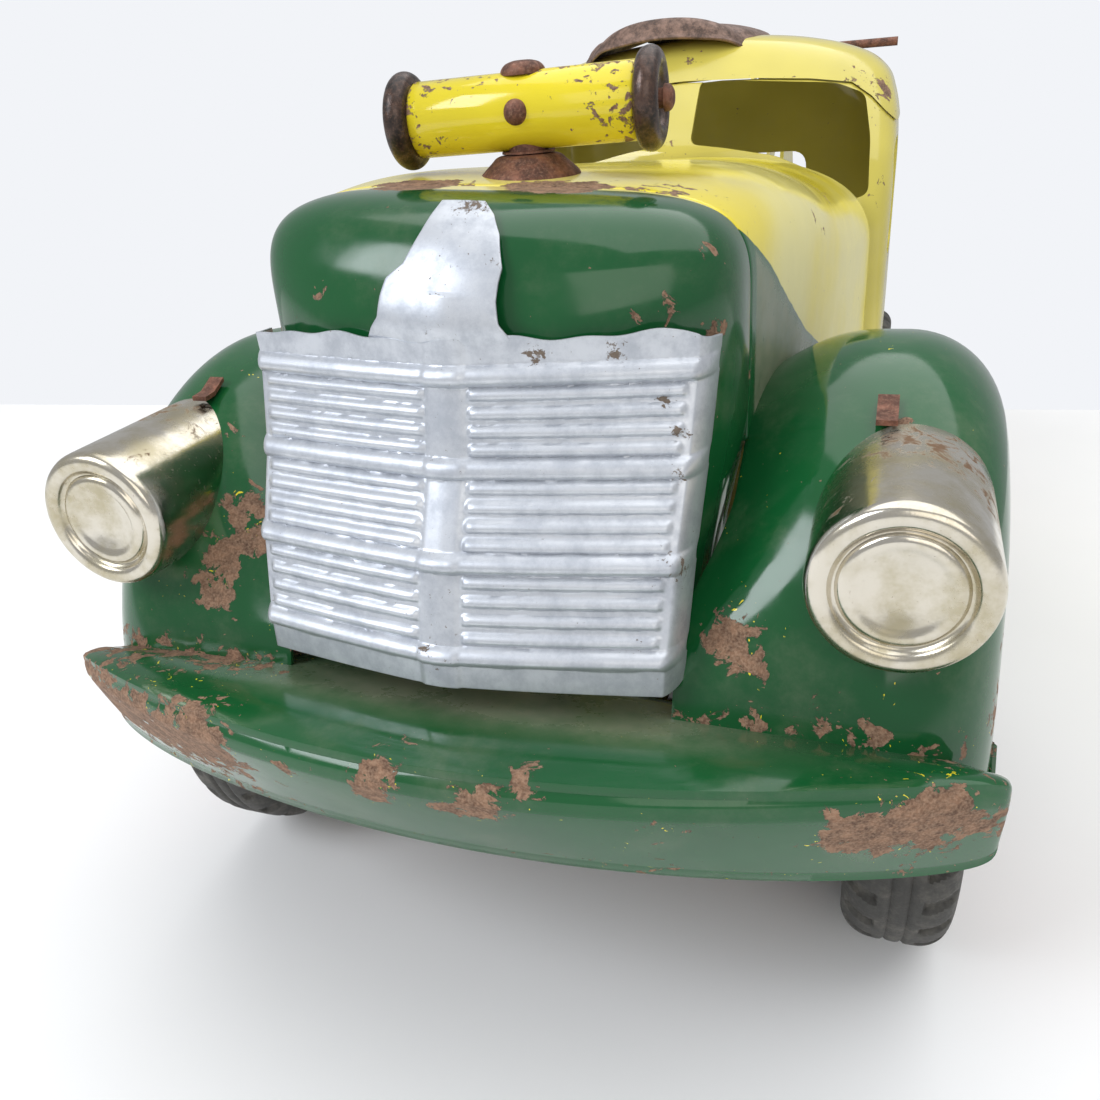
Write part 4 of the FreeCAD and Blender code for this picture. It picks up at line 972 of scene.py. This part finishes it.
def build_seat():
    """Saddle: an oval pan crowned across the roof, with a rolled front rim and a groove behind it."""
    share = np.linspace(0.02, 1, 60)[:, None]
    turn = np.linspace(0, 2 * math.pi, 144, endpoint=False)[None, :]
    power = 2 / 2.7
    shift, half = SEAT[:, 0].mean(), (SEAT[1][0] - SEAT[0][0]) / 2
    middle, deep = SEAT[:, 1].mean(), (SEAT[1][1] - SEAT[0][1]) / 2
    x = half * share * np.sign(np.cos(turn)) * np.abs(np.cos(turn)) ** power
    y = middle + deep * share * np.sign(np.sin(turn)) * np.abs(np.sin(turn)) ** power
    back = (y - SEAT[0][1]) / (2 * deep)
    z = SEAT[1][2] - 1.7 - 0.0050 * x ** 2 + 1.6 * back ** 2 - 1.8 * smooth_step(share, 0.93, 1.0)
    z = z - 4.5 * smooth_step(share, 0.84, 1.0) * (1 - smooth_step(back, 0.1, 0.5))
    z = z + 1.2 * np.exp(-((back - 0.07) / 0.05) ** 2) - 1.6 * np.exp(-((back - 0.2) / 0.045) ** 2)
    x = x + shift - 2
    grid = stack(x, y, z)
    pan = surface("saddle_pan", grid, ring=True, flip=True, tips=(grid[0].mean(axis=0), None))
    gauge_up(pan, sizes().gauge / MM, edge=0.4)
    return dress(pan, "seat", "chassis", ["saddle_seat"])


# ---- Wheels and small parts -------------------------------------------------


def build_tyre(name, body):
    """Tyre: a round section turned about X, with slanting notches pressed into both edges of the tread."""
    box = mm_box("tyre_" + name)
    centre, half, radius = box.mean(axis=0), (box[1][0] - box[0][0]) / 2, (box[1][2] - box[0][2]) / 2
    section = spline([(37, -11), (40, -12.6), (44, -13.8), (48, -13.6), (51.4, -11.6), (53.4, -8.4), (54, -4),
                      (54, 0), (54, 4), (53.4, 8.4), (51.4, 11.6), (48, 13.6), (44, 13.8), (40, 12.6),
                      (37, 11)], 75)
    section = section * (radius / 54, half / 14)
    turn = np.linspace(0, 2 * math.pi, 540, endpoint=False)[None, :]
    distance, along = section[:, :1], section[:, 1:]
    pitch = turn * 28 / (2 * math.pi) + np.abs(along) * 0.035
    notch = smooth_step(np.abs((pitch % 1) - 0.5), 0.30, 0.36)
    zone = smooth_step(np.abs(along), 5.0, 6.2) * smooth_step(distance, 49, 51.5)
    groove = np.exp(-((np.abs(along) - 2.2) / 0.6) ** 2) * smooth_step(distance, 52, 53) * 0.7
    r = distance - sizes().tread / MM * notch * zone - groove
    grid = stack(centre[0] + along, centre[1] + r * np.cos(turn), centre[2] + r * np.sin(turn))
    grid = np.concatenate([grid, grid[:1]], axis=0)
    tyre = surface("tread_" + name, grid, ring=True, solid=True)
    return dress(tyre, "rubber", body, ["tyre_" + name])


CAD_FINISHES = {
    "red": ["wheel_disc"],
    "nickel": ["hub_cap"],
    "green": ["running_board", "bed_side", "tail_panel"],
    "yellow": ["crane_side", "boom_strap"],
    "dark": ["chassis_frame", "axle_yoke", "rear_axle_brackets", "bumper_straps", "bed_sills", "bed_deck",
             "rear_bumper", "cab_outriggers", "winch_drum", "boom_pulley", "seat_bracket"],
    "steel": ["post_bush", "front_axle", "rear_axle", "steering_post", "handle_spacer", "headlamp_clips",
              "crane_pins", "boom_stays", "crank_handle", "body_rivets"],
}


def finish_cad_nodes():
    """Give each CAD node that stays the finish of its real piece."""
    for finish, starts in CAD_FINISHES.items():
        for name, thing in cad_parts.items():
            if name.startswith(tuple(starts)):
                thing.data.materials.clear()
                thing.data.materials.append(FINISHES[finish])


# ---- Stage ------------------------------------------------------------------


def plane(name, corners):
    """Flat quad through four corners, in metres."""
    mesh = bpy.data.meshes.new(name)
    mesh.from_pydata(corners, [], [(0, 1, 2, 3)])
    thing = bpy.data.objects.new(name, mesh)
    bpy.context.scene.collection.objects.link(thing)
    return thing


def camera_axes():
    """Level direction the camera faces, and the level direction to its right."""
    yaw = math.radians(21.03)
    return np.array([-math.sin(yaw), math.cos(yaw), 0]), np.array([math.cos(yaw), math.sin(yaw), 0])


CAMERA_PLACE = np.array([0.0880, -0.4214, 0.2297])


def build_stage():
    """White sheet whose far edge crosses the view a little off square."""
    forward, right = camera_axes()
    skew = math.tan(math.radians(sizes().skew))
    foot = CAMERA_PLACE * (1, 1, 0)
    far = foot + forward * sizes().rear_floor
    near = foot - forward * 2.5
    edge = right - forward * skew
    corners = [near - right * 3, near + right * 3, far + edge * 3, far - edge * 3]
    sheet = plane("floor_sheet", [tuple(c) for c in corners])
    sheet.data.materials.append(floor_paper("matt_white_card", list(colours().paper)))


def area_light(name, place, target, size, power, tint="#ffffff"):
    """Square soft light at a place, facing a target."""
    data = bpy.data.lights.new(name, "AREA")
    data.shape = "RECTANGLE"
    data.size, data.size_y = size
    data.energy = power
    data.color = linear(tint)
    thing = bpy.data.objects.new(name, data)
    thing.location = place
    thing.rotation_euler = (Vector(target) - Vector(place)).to_track_quat("-Z", "Y").to_euler()
    bpy.context.scene.collection.objects.link(thing)


def build_lights():
    """Soft daylight: a window high on the right side, a wide fill overhead and a low one in front."""
    target = (0, -0.12, 0.14)
    area_light("window", (-1.0, -1.2, 1.3), target, (0.7, 0.9), 17, "#f4f8ff")
    area_light("overhead", (0.3, 0.2, 1.7), target, (2.4, 2.0), 24)
    area_light("front_fill", (0.7, -1.6, 0.9), target, (1.2, 0.9), 5, "#fff9f0")
    world = bpy.data.worlds.new("pale_room")
    world.use_nodes = True
    tree = world.node_tree
    seen = add(tree, "LightPath").outputs["Is Camera Ray"]
    backdrop = tree.nodes["Background"]
    tree.links.new(reckon(tree, "MULTIPLY_ADD", seen, 0.45, 0.55), backdrop.inputs["Strength"])
    backdrop.inputs["Color"].default_value = (*colours().backdrop, 1)
    bpy.context.scene.world = world
    bpy.context.scene.view_settings.view_transform = "Standard"


def build_camera():
    """Camera just in front of the left fender, looking down and back along the truck."""
    pitch, roll = math.radians(25.86), math.radians(-4.6)
    level, right = camera_axes()
    rise = np.array([0, 0, 1])
    ahead = level * math.cos(pitch) - rise * math.sin(pitch)
    up = rise * math.cos(pitch) + level * math.sin(pitch)
    side = right * math.cos(roll) + up * math.sin(roll)
    top = up * math.cos(roll) - right * math.sin(roll)
    data = bpy.data.cameras.new("camera")
    data.sensor_width = 36
    data.lens = 36 * 934.4 / 1100
    data.clip_start = 0.01
    camera = bpy.data.objects.new("camera", data)
    turn = Matrix(np.stack([side, top, -ahead], axis=1).tolist()).to_4x4()
    camera.matrix_world = Matrix.Translation(CAMERA_PLACE.tolist()) @ turn
    bpy.context.scene.collection.objects.link(camera)
    bpy.context.scene.camera = camera


# ---- Operators and panel ----------------------------------------------------


class TOWTRUCK_OT_stage(bpy.types.Operator):
    """Set up the finishes, the floor, the lights and the camera"""

    bl_idname = "towtruck.stage"
    bl_label = "Stage and Finishes"

    def execute(self, context):
        make_finishes()
        finish_cad_nodes()
        build_stage()
        build_lights()
        build_camera()
        return {"FINISHED"}


class TOWTRUCK_OT_front(bpy.types.Operator):
    """Build the hood, nose, grille, bumper and fenders"""

    bl_idname = "towtruck.front"
    bl_label = "Front Body"

    def execute(self, context):
        build_hood()
        build_nose()
        build_grille()
        build_bumper()
        build_fender("left", 1)
        build_fender("right", -1)
        return {"FINISHED"}


class TOWTRUCK_OT_lamps(bpy.types.Operator):
    """Build both headlamps"""

    bl_idname = "towtruck.lamps"
    bl_label = "Headlamps"

    def execute(self, context):
        build_lamp("left", 1)
        build_lamp("right", -1)
        return {"FINISHED"}


class TOWTRUCK_OT_handle(bpy.types.Operator):
    """Build the steering handle and its bearing cup"""

    bl_idname = "towtruck.handle"
    bl_label = "Steering Handle"

    def execute(self, context):
        build_handle()
        build_boss()
        return {"FINISHED"}


class TOWTRUCK_OT_cab(bpy.types.Operator):
    """Build the cab, its roof and the saddle"""

    bl_idname = "towtruck.cab"
    bl_label = "Cab and Saddle"

    def execute(self, context):
        build_cab()
        build_seat()
        return {"FINISHED"}


class TOWTRUCK_OT_tyres(bpy.types.Operator):
    """Build the four tyres"""

    bl_idname = "towtruck.tyres"
    bl_label = "Tyres"

    def execute(self, context):
        for name in ("front_left", "front_right", "rear_left", "rear_right"):
            build_tyre(name, "wheel_" + name)
        return {"FINISHED"}


STEPS = (TOWTRUCK_OT_stage, TOWTRUCK_OT_front, TOWTRUCK_OT_lamps, TOWTRUCK_OT_handle, TOWTRUCK_OT_cab,
         TOWTRUCK_OT_tyres)


class TOWTRUCK_PT_panel(bpy.types.Panel):
    """Lists the building steps, the sizes and the colours"""

    bl_label = "Tow Truck"
    bl_idname = "TOWTRUCK_PT_panel"
    bl_space_type = "VIEW_3D"
    bl_region_type = "UI"
    bl_category = "Tow Truck"

    def draw(self, context):
        for step in STEPS:
            self.layout.operator(step.bl_idname)
        for group in (context.scene.truck_sizes, context.scene.truck_colours):
            box = self.layout.box()
            for key in group.__annotations__:
                box.prop(group, key)


CLASSES = (TruckSizes, TruckColours, *STEPS, TOWTRUCK_PT_panel)


def register():
    """Register the classes and hang the settings on the scene."""
    for item in CLASSES:
        bpy.utils.register_class(item)
    bpy.types.Scene.truck_sizes = PointerProperty(type=TruckSizes)
    bpy.types.Scene.truck_colours = PointerProperty(type=TruckColours)


def unregister():
    """Undo register."""
    del bpy.types.Scene.truck_colours
    del bpy.types.Scene.truck_sizes
    for item in reversed(CLASSES):
        bpy.utils.unregister_class(item)


def main():
    """Register, then build everything in order."""
    register()
    bpy.ops.towtruck.stage()
    bpy.ops.towtruck.front()
    bpy.ops.towtruck.lamps()
    bpy.ops.towtruck.handle()
    bpy.ops.towtruck.cab()
    bpy.ops.towtruck.tyres()


if __name__ == "__main__":
    main()
